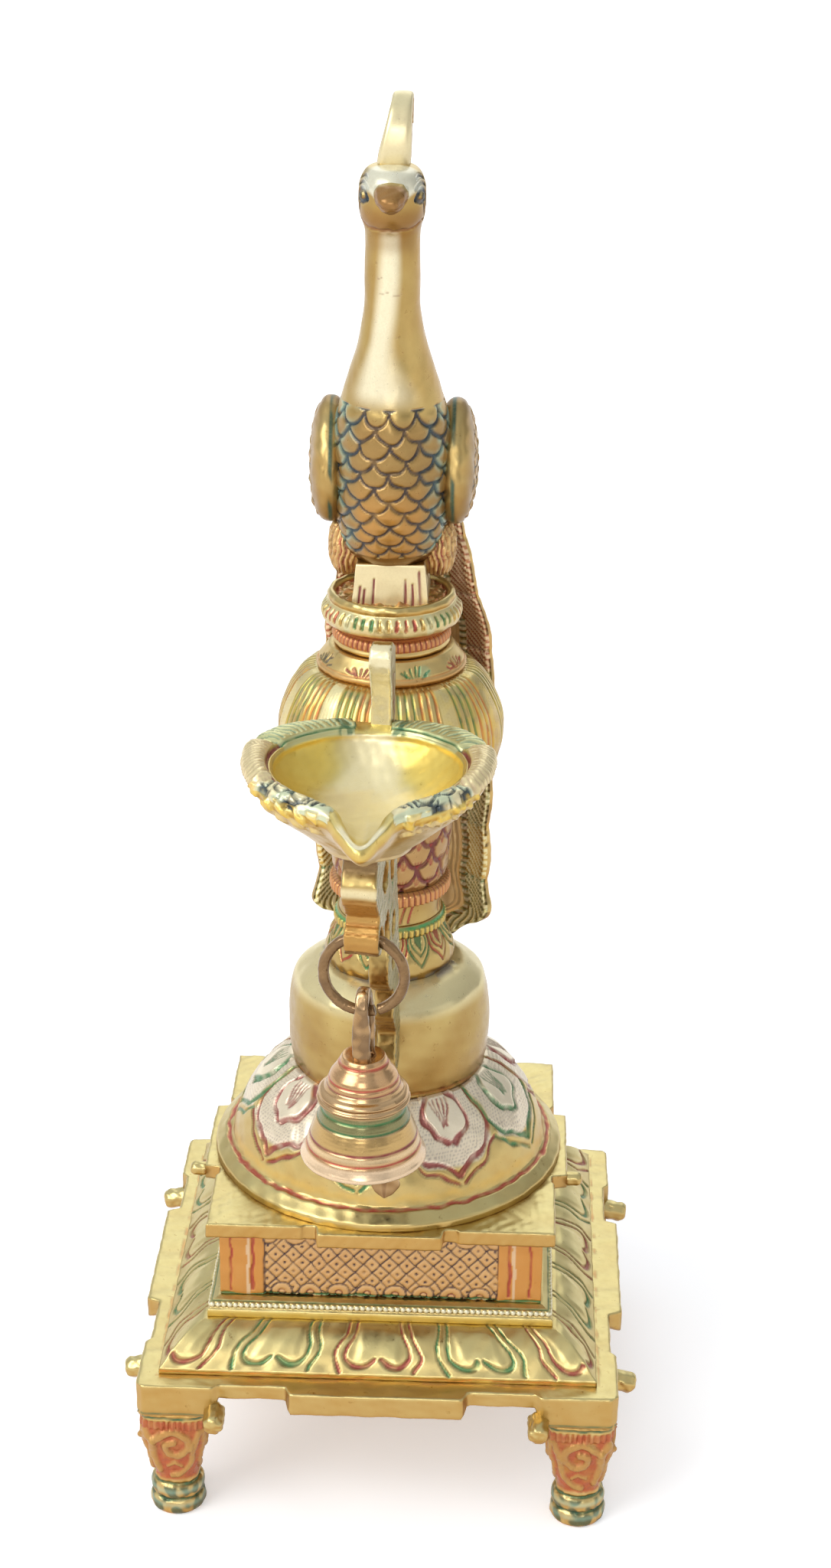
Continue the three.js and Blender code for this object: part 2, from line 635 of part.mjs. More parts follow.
piece('column_bead_ring', bandRing(BEAD_RING_RADIUS, BEAD_RING_HEIGHT), goldBrass).position.z = footTop;
piece('column_waist', bandRing(WAIST_RADIUS, WAIST_HEIGHT), goldBrass).position.z = beadRingTop;
piece('column_rib_ring', bandRing(RIB_RING_RADIUS, RIB_RING_HEIGHT), paintedBrass).position.z = waistTop;
piece('column_calyx', turned(closed([
  [CALYX_RADIUS, 0], [CALYX_RADIUS + 1.4, CALYX_HEIGHT * 0.15], [CALYX_RADIUS + 2.2, CALYX_HEIGHT * 0.45],
  [CALYX_RADIUS + 2.8, CALYX_HEIGHT * 0.75], [CALYX_TOP_RADIUS, CALYX_HEIGHT],
  [COLUMN_BORE, CALYX_HEIGHT], [COLUMN_BORE, 0],
])), goldBrass).position.z = ribRingTop;

// Pot, a thin shell with a bore for the tie rod at top and bottom
function potProfile() {
  const outer = [
    [POT_FOOT_RADIUS, 0], [POT_FOOT_RADIUS + 2.4, POT_HEIGHT * 0.05], [POT_RADIUS * 0.8, POT_HEIGHT * 0.16],
    [POT_RADIUS * 0.91, POT_HEIGHT * 0.29], [POT_RADIUS * 0.975, POT_HEIGHT * 0.42],
    [POT_RADIUS, POT_HEIGHT * 0.55], [POT_RADIUS * 0.985, POT_HEIGHT * 0.66],
    [POT_RADIUS * 0.935, POT_HEIGHT * 0.78], [POT_RADIUS * 0.85, POT_HEIGHT * 0.9],
    [POT_RADIUS * 0.755, POT_HEIGHT * 0.975], [POT_TOP_RADIUS - 1, POT_HEIGHT],
  ];
  const inner = [8, 6, 4, 2].map((row) => [outer[row][0] - POT_WALL, outer[row][1]]);
  const ceiling = POT_HEIGHT - POT_WALL;
  const top = [[rodBore, POT_HEIGHT], [rodBore, ceiling], [POT_TOP_RADIUS - 2, ceiling]];
  const bottom = [[POT_FOOT_RADIUS - 2, POT_WALL], [rodBore, POT_WALL], [rodBore, 0]];
  return closed([...outer, ...top, ...inner, ...bottom]);
}

piece('pot', turned(potProfile(), 26), paleBrass).position.z = calyxTop;
piece('pot_flange', turned(closed([
  [FLANGE_RADIUS - 0.5, 0], [FLANGE_RADIUS, FLANGE_EDGE * 0.5], [FLANGE_RADIUS - 0.4, FLANGE_EDGE],
  [NECK_RING_RADIUS + 1.6, FLANGE_HEIGHT], [rodBore, FLANGE_HEIGHT], [rodBore, 0],
])), paintedBrass).position.z = potTop;
piece('neck_ring', turned(closed([
  [NECK_RING_RADIUS - 1, 0], [NECK_RING_RADIUS, NECK_RING_HEIGHT * 0.25],
  [NECK_RING_RADIUS, NECK_RING_HEIGHT * 0.7], [NECK_RING_RADIUS - 1.4, NECK_RING_HEIGHT],
  [rodBore, NECK_RING_HEIGHT], [rodBore, 0],
])), paintedBrass).position.z = flangeTop;
piece('collar', turned(closed([
  [NECK_RING_RADIUS - 1.6, 0], [COLLAR_RADIUS - 1.4, COLLAR_HEIGHT * 0.16],
  [COLLAR_RADIUS, COLLAR_HEIGHT * 0.36], [COLLAR_RADIUS - 0.3, COLLAR_HEIGHT * 0.56],
  [COLLAR_RIM_RADIUS + 0.5, COLLAR_HEIGHT * 0.76], [COLLAR_RIM_RADIUS, COLLAR_HEIGHT * 0.95],
  [COLLAR_RIM_RADIUS - 0.9, COLLAR_HEIGHT], [COLLAR_RIM_RADIUS - COLLAR_LIP, COLLAR_HEIGHT - 0.2],
  [COLLAR_RIM_RADIUS - COLLAR_LIP - 0.3, COLLAR_FLOOR], [rodBore, COLLAR_FLOOR], [rodBore, 0],
])), paleBrass).position.z = neckTop;

// Tapered block that the bird stands on
function footBlock() {
  const solid = loft([
    squareRing(BLOCK_FOOT_HALF, 12, 0, 0, 0), squareRing(BLOCK_TOP_HALF, 12, 0, 0, FOOT_BLOCK_HEIGHT),
  ]);
  return cut(solid, rodTool(rodBore, -OVERCUT, FOOT_BLOCK_HEIGHT + OVERCUT));
}

piece('foot_block', footBlock(), goldBrass).position.z = collarFloor;

// Bird rows: share of the height, half width, half depth and how far back the centre lies
const birdRows = [
  [0, 11, 11.5, 0], [0.034, 14.4, 16.5, 0.4],
  [0.094, BREAST_HALF_WIDTH * 0.92, BREAST_HALF_DEPTH * 0.9, 1.2],
  [0.18, BREAST_HALF_WIDTH * 0.99, BREAST_HALF_DEPTH, 2.1],
  [0.265, BREAST_HALF_WIDTH, BREAST_HALF_DEPTH, 2.4],
  [0.35, BREAST_HALF_WIDTH * 0.95, BREAST_HALF_DEPTH * 0.9, 0.8],
  [0.427, BREAST_HALF_WIDTH * 0.82, BREAST_HALF_DEPTH * 0.72, -1.6],
  [0.496, NECK_RADIUS + 4.5, NECK_RADIUS + 5, -3.6], [0.573, NECK_RADIUS + 1.9, NECK_RADIUS + 2.3, -5.2],
  [0.658, NECK_RADIUS + 0.3, NECK_RADIUS + 0.8, -6.2], [0.752, NECK_RADIUS, NECK_RADIUS + 0.4, -6.8],
  [0.829, NECK_RADIUS, NECK_RADIUS + 0.5, -7.2], [0.872, HEAD_HALF_WIDTH - 0.9, HEAD_HALF_WIDTH + 0.6, -8],
  [0.915, HEAD_HALF_WIDTH, HEAD_HALF_WIDTH + 1.6, -9],
  [0.957, HEAD_HALF_WIDTH, HEAD_HALF_WIDTH + 1.8, -9], [1, HEAD_TOP_HALF, HEAD_TOP_HALF + 2, -7.6],
];

function birdSkin(grow) {
  return loft(birdRows.map(([share, halfWidth, halfDepth, back]) => (
    ellipseRing(halfWidth + grow, halfDepth + grow, 0, back, birdFoot + share * BIRD_HEIGHT)
  )));
}

function bird() {
  const [, , headDepth, headBack] = birdRows.at(-3);
  const beakFrom = headBack - headDepth + 3;
  const beakRows = [[0, 1, 0], [0.4, 0.95, 0.1], [0.75, 0.78, 0.4]];
  const beakRings = beakRows.map(([share, size, drop]) => ellipseRing(
    BEAK_RADIUS * size, BEAK_RADIUS * size, 0, -drop, share * BEAK_LENGTH, 12,
  ));
  beakRings.push(ellipseRing(BEAK_TIP_RADIUS, BEAK_TIP_RADIUS, 0, -1, BEAK_LENGTH, 12));
  const beak = loft(beakRings).rotateX(Math.PI / 2).translate(0, beakFrom, headTop - BEAK_DROP);
  const thighs = [-1, 1].map((side) => new THREE.SphereGeometry(1, 10, 6)
    .scale(THIGH_HALF, 9, 8).translate(side * (BLOCK_TOP_HALF + 3.4), 2, birdFoot + 4));
  const bore = rodTool(rodBore, birdFoot - OVERCUT, birdFoot + ROD_INTO_BIRD + OVERCUT);
  const clear = rodTool(COLLAR_RADIUS + THIGH_HALF, birdFoot - FOOT_BLOCK_HEIGHT, birdFoot);
  return cut(join(birdSkin(0), beak, ...thighs), bore, clear);
}

piece('peacock_body', bird(), goldBrass);

function wing(side) {
  const shell = new THREE.SphereGeometry(1, 16, 10).rotateX(Math.PI / 2);
  reshape(shell.scale(WING_THICKNESS, WING_LENGTH, WING_HEIGHT), (p) => {
    p.z *= 1 - (WING_TAPER * p.y) / WING_LENGTH;
  });
  shell.rotateX(-WING_DROOP).translate(side * WING_OUT, WING_BACK, birdFoot + WING_LIFT);
  return cut(shell, birdSkin(SEAT_GAP));
}

piece('wing_left', wing(-1), paleBrass);
piece('wing_right', wing(1), paleBrass);

// Crest, a curled plume that stands on the head and leans a little aside
function crest() {
  const outline = spline([
    [0.6, 0], [0.63, 0.24], [0.59, 0.52], [0.47, 0.79], [0.27, 0.95], [0.05, 1], [-0.19, 0.92],
    [-0.31, 0.74], [-0.29, 0.56], [-0.14, 0.48], [-0.04, 0.55], [-0.08, 0.66], [0.07, 0.64], [0.18, 0.48],
    [0.19, 0.24], [0.16, 0],
  ].map(([back, up]) => [back * CREST_HEIGHT, up * CREST_HEIGHT]), 36);
  const shape = new THREE.Shape(outline);
  const plume = reshape(upright(shape, CREST_BASE_WIDTH), (p) => {
    const share = p.z / CREST_HEIGHT;
    const narrow = THREE.MathUtils.lerp(1, CREST_TOP_WIDTH / CREST_BASE_WIDTH, share);
    p.x = p.x * narrow + CREST_LEAN * share;
  });
  const seat = block(40, 60, -20, 0);
  return cut(plume, seat).translate(0, CREST_BACK, 0);
}

piece('crest', crest(), paleBrass).position.z = headTop;

// Tail rows from the bottom: height share, inner radius and half width along the curve
const tailFoot = discTop + drumLedge + SEAT_GAP;
const tailTop = birdFoot + TAIL_RISE;
const rump = birdRows[4][2] + birdRows[4][3] + SEAT_GAP;
const potSide = POT_RADIUS + 1;
const tailRows = [
  [0, FOOT_RADIUS + 4.6, TAIL_HALF_WIDTH * 0.56], [0.02, FOOT_RADIUS + 7.4, TAIL_HALF_WIDTH * 0.74],
  [0.05, FOOT_RADIUS + TAIL_STAND_OFF - 1.4, TAIL_HALF_WIDTH * 1.04],
  [0.1, FOOT_RADIUS + TAIL_STAND_OFF, TAIL_HALF_WIDTH],
  [0.22, FOOT_RADIUS + TAIL_STAND_OFF, TAIL_HALF_WIDTH], [0.31, potSide - 2, TAIL_HALF_WIDTH],
  [0.39, potSide, TAIL_HALF_WIDTH], [0.48, potSide, TAIL_HALF_WIDTH * 0.95],
  [0.56, potSide, TAIL_HALF_WIDTH * 0.92], [0.63, potSide - 2.6, TAIL_HALF_WIDTH * 0.84],
  [0.7, potSide - 7, TAIL_HALF_WIDTH * 0.73], [0.77, rump + 2, TAIL_HALF_WIDTH * 0.64],
  [0.84, rump + 0.4, TAIL_HALF_WIDTH * 0.5], [0.9, rump, TAIL_HALF_WIDTH * 0.36],
  [0.95, rump, TAIL_HALF_WIDTH * 0.28], [1, rump - 0.6, TAIL_HALF_WIDTH * 0.18],
];

function tail() {
  const heights = 27;
  const steps = 7;
  const rings = [];
  for (let r = 0; r <= heights; r += 1) {
    const share = r / heights;
    const inner = between(tailRows, share, 1);
    const lobe = TAIL_SCALLOP * Math.abs(Math.sin(Math.PI * TAIL_LOBES * share));
    const reach = (between(tailRows, share, 2) - TAIL_SCALLOP + lobe) / inner;
    const z = THREE.MathUtils.lerp(tailFoot, tailTop, share);
    const arc = (radius, from) => Array.from({ length: steps + 1 }, (_, i) => {
      const turn = from * reach * (1 - (2 * i) / steps);
      return new THREE.Vector3(radius * Math.sin(turn), radius * Math.cos(turn), z);
    });
    rings.push([...arc(inner + TAIL_THICKNESS, 1), ...arc(inner, -1)]);
  }
  return sheetLoft(rings, steps + 1).rotateZ(TAIL_TURN);
}

// As loft, with both ends closed by a strip between the outer and the inner arc
function sheetLoft(rings, half) {
  const count = rings[0].length;
  const top = (rings.length - 1) * count;
  const index = [];
  for (let r = 0; r + 1 < rings.length; r += 1) {
    for (let c = 0; c < count; c += 1) {
      const d = (c + 1) % count;
      const [low, high] = [r * count, (r + 1) * count];
      index.push(low + c, low + d, high + d, low + c, high + d, high + c);
    }
  }
  for (let c = 0; c + 1 < half; c += 1) {
    const [a, b, inner, next] = [c, c + 1, count - 1 - c, count - 2 - c];
    index.push(a, next, b, a, inner, next);
    index.push(top + a, top + b, top + next, top + a, top + next, top + inner);
  }
  const geometry = new THREE.BufferGeometry().setFromPoints(rings.flat());
  geometry.setIndex(index);
  geometry.computeVertexNormals();
  return geometry;
}

piece('tail', tail(), paintedBrass);

// Everything on the bracket lies in a frame of its own: forward is -Y, height is Z
const bracketGroup = new THREE.Group();
bracketGroup.applyMatrix4(bracketFrame);
lamp.add(bracketGroup);

// Outline points are shares: forward of the hook's distance and upward of the saddle's height
function drawn(points) {
  return points.map(([forward, up]) => [forward * HOOK_FORWARD, up * SADDLE_HEIGHT]);
}

function bracketShape() {
  const lower = spline([
    [SEAT_GAP, SADDLE_HEIGHT * 0.026],
    ...drawn([
      [0.057, 0], [0.136, 0.008], [0.172, 0.048], [0.158, 0.101], [0.133, 0.143], [0.195, 0.185],
      [0.262, 0.238], [0.242, 0.291], [0.258, 0.334], [0.362, 0.353], [0.462, 0.406], [0.475, 0.48],
      [0.423, 0.554], [0.462, 0.626], [0.593, 0.69], [0.738, 0.72],
    ]),
    [HOOK_FORWARD - HOOK_RADIUS * 0.98, HOOK_HEIGHT + HOOK_RADIUS * 0.17],
  ], 42);
  const roll = [210, 240, 270, 300, 330, 0, 30, 55].map((angle) => {
    const turn = THREE.MathUtils.degToRad(angle);
    const reach = HOOK_FORWARD + HOOK_RADIUS * Math.cos(turn);
    return new THREE.Vector2(reach, HOOK_HEIGHT + HOOK_RADIUS * Math.sin(turn));
  });
  const bulge = spline(drawn([
    [1.038, 0.764], [1.1, 0.798], [1.181, 0.844], [1.197, 0.895], [1.136, 0.942], [1.145, 0.974], [1.244, 1],
  ]), 14);
  const upper = spline([
    ...drawn([
      [0.776, 1], [0.643, 1.041], [0.52, 1.109], [0.443, 1.185], [0.421, 1.259], [0.414, 1.333],
      [0.43, 1.401], [0.482, 1.454], [0.471, 1.507], [0.376, 1.534], [0.285, 1.509], [0.253, 1.446],
      [0.274, 1.359], [0.267, 1.253], [0.235, 1.147], [0.172, 1.041], [0.14, 0.935], [0.149, 0.83],
      [0.131, 0.703], [0.086, 0.576], [0.057, 0.449], [0.05, 0.322], [0.032, 0.226],
    ]),
    [SEAT_GAP, SADDLE_HEIGHT * 0.154],
  ], 50);
  const shape = new THREE.Shape([...lower, ...roll, ...bulge, ...upper]);
  shape.holes.push(circlePath(HOOK_FORWARD, HOOK_HEIGHT, HOOK_EYE_RADIUS));
  const piercings = [
    [0.758, 0.857, 0.181, 0.059], [0.33, 0.825, 0.1, 0.089], [0.276, 0.571, 0.077, 0.047],
    [0.258, 0.44, 0.068, 0.032],
  ];
  for (const [forward, up, halfLength, halfHeight] of piercings) {
    const [[x, y], [halfX, halfY]] = drawn([[forward, up], [halfLength, halfHeight]]);
    const path = new THREE.Path();
    path.absellipse(x, y, halfX, halfY, 0, 2 * Math.PI, true);
    shape.holes.push(new THREE.Path(path.getPoints(8)));
  }
  return shape;
}

// The casting is wide at the hook and the saddle and slim at the foot and the tongue
function bracket(extra) {
  return reshape(upright(bracketShape(), BRACKET_FRONT_WIDTH), (p) => {
    const share = THREE.MathUtils.smoothstep(-p.y, 18, 36);
    const width = THREE.MathUtils.lerp(BRACKET_BACK_WIDTH, BRACKET_FRONT_WIDTH, share) + 2 * extra;
    p.x *= width / BRACKET_FRONT_WIDTH;
  });
}

const armBores = armScrewHeights.map((height) => (
  armScrewTool(ARM_SCREW_RADIUS + SCREW_CLEARANCE, ARM_SCREW_DEPTH + SCREW_CLEARANCE + OVERCUT, height)
    .translate(0, -ARM_SCREW_DEPTH - SCREW_CLEARANCE, 0)
));
piece('bracket', cut(bracket(0), ...armBores), goldBrass, bracketGroup);

function armScrew() {
  return turned([
    [0, -armScrewLength], [ARM_SCREW_RADIUS, -armScrewLength], [ARM_SCREW_RADIUS, 0],
    [ARM_SCREW_HEAD_RADIUS, 0], [ARM_SCREW_HEAD_RADIUS, ARM_SCREW_HEAD], [0, ARM_SCREW_HEAD],
  ], 14).rotateX(-Math.PI / 2);
}

['lower', 'upper'].forEach((level, i) => {
  const screw = piece(`arm_screw_${level}`, armScrew(), steel, bracketGroup);
  screw.position.set(0, armScrewLength - ARM_SCREW_DEPTH, armScrewHeights[i]);
});

// Bowl rows by angle from the spout: outline radius, and share of the drop below the back rim
const bowlHalf = [
  [0, SPOUT_REACH, 1], [9, SPOUT_REACH * 0.86, 0.72], [18, BOWL_HALF_WIDTH * 0.92, 0.45],
  [30, BOWL_HALF_WIDTH * 0.913, 0.35], [48, BOWL_HALF_WIDTH * 0.942, 0.24],
  [68, BOWL_HALF_WIDTH * 0.975, 0.08], [90, BOWL_HALF_WIDTH, 0], [112, BOWL_HALF_WIDTH * 1.06, 0],
  [134, BOWL_HALF_WIDTH * 1.055, 0], [156, BOWL_HALF_WIDTH * 0.965, 0], [180, BOWL_HALF_WIDTH * 0.9, 0.05],
];

function bowl() {
  const count = 36;
  const rim = SADDLE_HEIGHT + SEAT_GAP + BOWL_DEPTH;
  const foot = rim - BOWL_DEPTH;
  const ring = (radiusAt, heightAt) => Array.from({ length: count }, (_, i) => {
    const angle = (360 * i) / count;
    const fold = angle > 180 ? 360 - angle : angle;
    const turn = THREE.MathUtils.degToRad(angle - 90);
    const radius = radiusAt(fold);
    return new THREE.Vector3(radius * Math.cos(turn), radius * Math.sin(turn), heightAt(fold));
  });
  const edge = (fold) => between(bowlHalf, fold, 1);
  const drop = (fold) => between(bowlHalf, fold, 2) * SPOUT_DROP;
  const lip = (fold) => Math.max(BASIN_RADIUS, edge(fold) - 4 - fold * 0.5);
  const inside = (share) => (fold) => THREE.MathUtils.lerp(BASIN_RADIUS * share, lip(fold), share ** 6);
  return loft([
    ring(() => BOWL_BASE_RADIUS, () => foot),
    ring((fold) => edge(fold) * 0.6, () => foot + BOWL_DEPTH * 0.3),
    ring((fold) => edge(fold) * 0.84, (fold) => foot + BOWL_DEPTH * 0.58 - drop(fold) * 0.5),
    ring((fold) => edge(fold) * 0.98, (fold) => rim - 4.5 - drop(fold)),
    ring((fold) => edge(fold), (fold) => rim - 2.5 - drop(fold)),
    ring((fold) => edge(fold) * 0.97, (fold) => rim - drop(fold)),
    ring((fold) => lip(fold), (fold) => rim - 1.2 - drop(fold)),
    ring((fold) => inside(0.9)(fold), (fold) => rim - BASIN_DEPTH * 0.42 - drop(fold) * 0.6),
    ring(() => BASIN_RADIUS * 0.66, () => rim - BASIN_DEPTH * 0.8),
    ring(() => BASIN_RADIUS * 0.3, () => rim - BASIN_DEPTH),
  ]);
}

const bowlFrame = new THREE.Matrix4().makeTranslation(BOWL_SIDE, -BOWL_FORWARD, discTop + BRACKET_FOOT);
const notch = bracket(SEAT_GAP).translate(0, -SEAT_GAP, SEAT_GAP / 2).applyMatrix4(bracketFrame);
const bowlInPlace = cut(bowl().applyMatrix4(bowlFrame), notch);
piece('oil_bowl', bowlInPlace, basinBrass);

// Split ring that hangs in the bracket's eye
function ringPath() {
  const path = new THREE.CurvePath();
  const arc = new THREE.EllipseCurve(0, 0, RING_RADIUS, RING_RADIUS, 0, 2 * Math.PI - RING_SPLIT);
  const start = THREE.MathUtils.degToRad(-68);
  const points = arc.getPoints(40).map((p) => (
    new THREE.Vector3(p.x, 0, p.y).applyAxisAngle(new THREE.Vector3(0, -1, 0), start)
  ));
  path.add(new THREE.CatmullRomCurve3(points));
  return path;
}

function wireSection(radius, sides) {
  const shape = new THREE.Shape();
  shape.absarc(0, 0, radius, 0, 2 * Math.PI);
  return new THREE.Shape(shape.getPoints(sides / 2).slice(0, -1));
}

const ringGeometry = new THREE.ExtrudeGeometry(wireSection(RING_WIRE, 8), {
  steps: 36, bevelEnabled: false, extrudePath: ringPath(),
});
const ring = piece('bell_ring', ringGeometry, copperBrass, bracketGroup);
ring.position.set(0, -HOOK_FORWARD, HOOK_HEIGHT - RING_RADIUS);

// Bell loop: an arched eye over the crown, a shank through it and a small eye inside the bell
const crownTop = HOOK_HEIGHT - 2 * RING_RADIUS - LOOP_HEIGHT;
const eyeDrop = BELL_CROWN_WALL + EYE_RADIUS + 1;

function bellLoop() {
  const outer = LOOP_SLOT + LOOP_WALL;
  const shoulder = LOOP_HEIGHT + LOOP_ARCH * 0.72;
  const arch = new THREE.Shape(spline([
    [outer - 1, 0], [outer, LOOP_HEIGHT * 0.45], [outer, LOOP_HEIGHT], [outer * 0.66, shoulder],
    [0, LOOP_HEIGHT + LOOP_ARCH], [-outer * 0.66, shoulder], [-outer, LOOP_HEIGHT],
    [-outer, LOOP_HEIGHT * 0.45], [-outer + 1, 0],
  ], 18));
  const slot = new THREE.Path();
  slot.absarc(0, LOOP_HEIGHT, LOOP_SLOT, 0, Math.PI, false);
  slot.absarc(0, LOOP_HEIGHT * 0.5, LOOP_SLOT * 0.8, Math.PI, 2 * Math.PI, false);
  arch.holes.push(new THREE.Path(slot.getPoints(8)));
  const shank = rodTool(SHANK_RADIUS, -eyeDrop + EYE_HOLE + 0.5, 1);
  const eyeShape = new THREE.Shape();
  eyeShape.absarc(0, 0, EYE_RADIUS, 0, 2 * Math.PI);
  eyeShape.holes.push(circlePath(0, 0, EYE_HOLE, 12));
  const eye = upright(eyeShape, EYE_WIDTH, 8).translate(0, 0, -eyeDrop);
  return join(upright(arch, LOOP_WIDTH), shank, eye);
}

const bellPlace = new THREE.Vector3(0, -HOOK_FORWARD, crownTop);
piece('bell_loop', bellLoop(), copperBrass, bracketGroup).position.copy(bellPlace);

// Bell, a turned shell with a double bead ring round its shoulder
function bellProfile() {
  const [mouth, bead, crown] = [BELL_MOUTH_RADIUS, BELL_BEAD_RADIUS, BELL_CROWN_RADIUS];
  const shank = SHANK_RADIUS + SCREW_CLEARANCE;
  const ceiling = 1 - BELL_CROWN_WALL / BELL_HEIGHT;
  return closed([
    [mouth - 0.3, 0], [mouth, 0.03], [mouth - 1.1, 0.1], [mouth - 3.6, 0.31], [mouth - 5.3, 0.43],
    [bead - 1, 0.54], [bead, 0.59], [bead, 0.7], [bead - 1, 0.74], [crown + 3.2, 0.83],
    [crown + 0.4, 0.97], [crown - 0.4, 1], [shank, 1], [shank, ceiling], [crown - 1, ceiling],
    [crown + 3 - BELL_WALL, 0.77], [bead - 1 - BELL_WALL, 0.54], [mouth - 5.3 - BELL_WALL, 0.39],
    [mouth - 0.4 - BELL_WALL, 0],
  ].map(([radius, share]) => [radius, share * BELL_HEIGHT]));
}

const bell = piece('bell', turned(bellProfile(), 22), copperBrass, bracketGroup);
bell.position.set(0, -HOOK_FORWARD, crownTop - BELL_HEIGHT);

// Clapper: a wire loop through the small eye, a rod bent aside and a flat leaf
function clapper() {
  const loop = new THREE.TorusGeometry(CLAPPER_LOOP_RADIUS, CLAPPER_WIRE, 6, 16);
  loop.rotateX(Math.PI / 2).translate(0, 0, -CLAPPER_LOOP_RADIUS);
  const rodTop = new THREE.Vector3(0, 0, -2 * CLAPPER_LOOP_RADIUS);
  const leafTop = new THREE.Vector3(CLAPPER_SIDE, 0, -CLAPPER_LENGTH + CLAPPER_LEAF - 1.5);
  const rod = new THREE.CylinderGeometry(CLAPPER_WIRE, CLAPPER_WIRE, rodTop.distanceTo(leafTop), 6);
  const lean = Math.atan2(CLAPPER_SIDE, rodTop.z - leafTop.z);
  rod.rotateX(Math.PI / 2).rotateY(-lean).translate(CLAPPER_SIDE / 2, 0, (rodTop.z + leafTop.z) / 2);
  const half = CLAPPER_LEAF_HALF;
  const leaf = new THREE.Shape(spline([
    [0, 0], [half * 0.55, CLAPPER_LEAF * 0.16], [half, CLAPPER_LEAF * 0.5],
    [half * 0.8, CLAPPER_LEAF * 0.8], [half * 0.36, CLAPPER_LEAF], [-half * 0.36, CLAPPER_LEAF],
    [-half * 0.8, CLAPPER_LEAF * 0.8], [-half, CLAPPER_LEAF * 0.5], [-half * 0.55, CLAPPER_LEAF * 0.16],
    [0, 0],
  ], 18).slice(0, -1));
  const plate = new THREE.ExtrudeGeometry(leaf, { depth: CLAPPER_THICKNESS, bevelEnabled: false });
  plate.rotateX(Math.PI / 2).translate(CLAPPER_SIDE, CLAPPER_THICKNESS / 2, -CLAPPER_LENGTH);
  return join(loop, rod, plate);
}

const clapperMesh = piece('clapper', clapper(), copperBrass, bracketGroup);
clapperMesh.position.set(0, -HOOK_FORWARD, crownTop - eyeDrop);

// Tie rod that clamps the whole stack, with its washer and nut under the base plate
const rodLow = webFloor - WASHER_THICKNESS - NUT_HEIGHT - ROD_END;
piece('tie_washer', turned(closed([
  [rodBore, 0], [WASHER_RADIUS, 0], [WASHER_RADIUS, WASHER_THICKNESS], [rodBore, WASHER_THICKNESS],
]), 16), steel).position.z = webFloor - WASHER_THICKNESS;
piece('tie_nut', cut(
  turned([[0, 0], [NUT_RADIUS, 0], [NUT_RADIUS, NUT_HEIGHT], [0, NUT_HEIGHT]], 6),
  rodTool(rodBore, -OVERCUT, NUT_HEIGHT + OVERCUT),
), steel).position.z = webFloor - WASHER_THICKNESS - NUT_HEIGHT;
piece('tie_rod', rodTool(ROD_RADIUS, rodLow, birdFoot + ROD_INTO_BIRD), steel);

// The model's box stands on the floor with its centre over the origin
lamp.updateMatrixWorld(true);
const box = new THREE.Box3().setFromObject(lamp, true);
const centre = box.getCenter(new THREE.Vector3());
lamp.position.set(-centre.x, -centre.y, -box.min.z);

export default lamp;
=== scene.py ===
# %% [markdown]
# # A painted brass peacock lamp
# The real lamp is a stack of thin brass castings on a rod. A craftsman files each casting smooth,
# engraves petals, scales and beads into it with a chisel and rubs coloured lacquer into the cuts.
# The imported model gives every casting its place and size, so this scene only adds what the hand adds.
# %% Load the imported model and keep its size
import json
import math

import bpy
import numpy as np
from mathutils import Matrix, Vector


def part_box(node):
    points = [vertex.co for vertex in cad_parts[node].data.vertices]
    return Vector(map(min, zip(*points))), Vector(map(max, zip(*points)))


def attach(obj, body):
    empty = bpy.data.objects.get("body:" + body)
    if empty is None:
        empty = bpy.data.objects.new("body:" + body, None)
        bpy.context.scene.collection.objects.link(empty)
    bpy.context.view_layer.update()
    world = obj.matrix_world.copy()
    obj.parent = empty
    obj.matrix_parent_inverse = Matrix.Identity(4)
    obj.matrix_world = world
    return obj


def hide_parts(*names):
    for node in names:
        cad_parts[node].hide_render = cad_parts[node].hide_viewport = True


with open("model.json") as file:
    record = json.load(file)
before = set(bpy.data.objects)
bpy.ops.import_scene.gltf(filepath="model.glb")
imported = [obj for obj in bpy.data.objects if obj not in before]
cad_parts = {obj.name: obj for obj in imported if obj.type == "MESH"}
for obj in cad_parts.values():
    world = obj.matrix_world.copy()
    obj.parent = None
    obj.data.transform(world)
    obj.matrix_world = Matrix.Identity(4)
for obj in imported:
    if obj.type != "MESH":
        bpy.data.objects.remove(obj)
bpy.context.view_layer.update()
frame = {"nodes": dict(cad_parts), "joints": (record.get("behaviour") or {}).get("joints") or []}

MM = 0.001

# %% [markdown]
# The castings stack up on one upright axis. The pot is round, so the middle of its box is the axis, and
# the lowest and highest point of each casting's box give the level where it is seated. Everything below is
# written in millimetres from that axis, and only the last step turns it into metres.
# %% The lamp's axis and the level of each casting
pot_low, pot_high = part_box("pot")
AXIS = np.array([(pot_low.x + pot_high.x) / 2, (pot_low.y + pot_high.y) / 2, 0.0])


def level(node):
    """The height in mm of a node's lowest point."""
    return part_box(node)[0].z / MM


def top_of(node):
    """The height in mm of a node's highest point."""
    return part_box(node)[1].z / MM


def put(name, data):
    """A new object in the scene, at the origin."""
    made = bpy.data.objects.new(name, data)
    bpy.context.scene.collection.objects.link(made)
    return made


print("axis", AXIS, "pot from", round(level("pot"), 2), "to", round(top_of("pot"), 2))

# %% [markdown]
# Lacquer and brass colours are written as they look on screen. Blender mixes light in linear values, so
# each channel is raised by the screen's curve before a material gets it.
# %% Colours of brass and lacquer


def shade(text):
    """Turns a screen colour such as C9A85B into the linear red, green and blue that Blender mixes."""
    parts = np.array([int(text[i:i + 2], 16) / 255 for i in (0, 2, 4)])
    return np.where(parts <= 0.04045, parts / 12.92, ((parts + 0.055) / 1.055) ** 2.4)


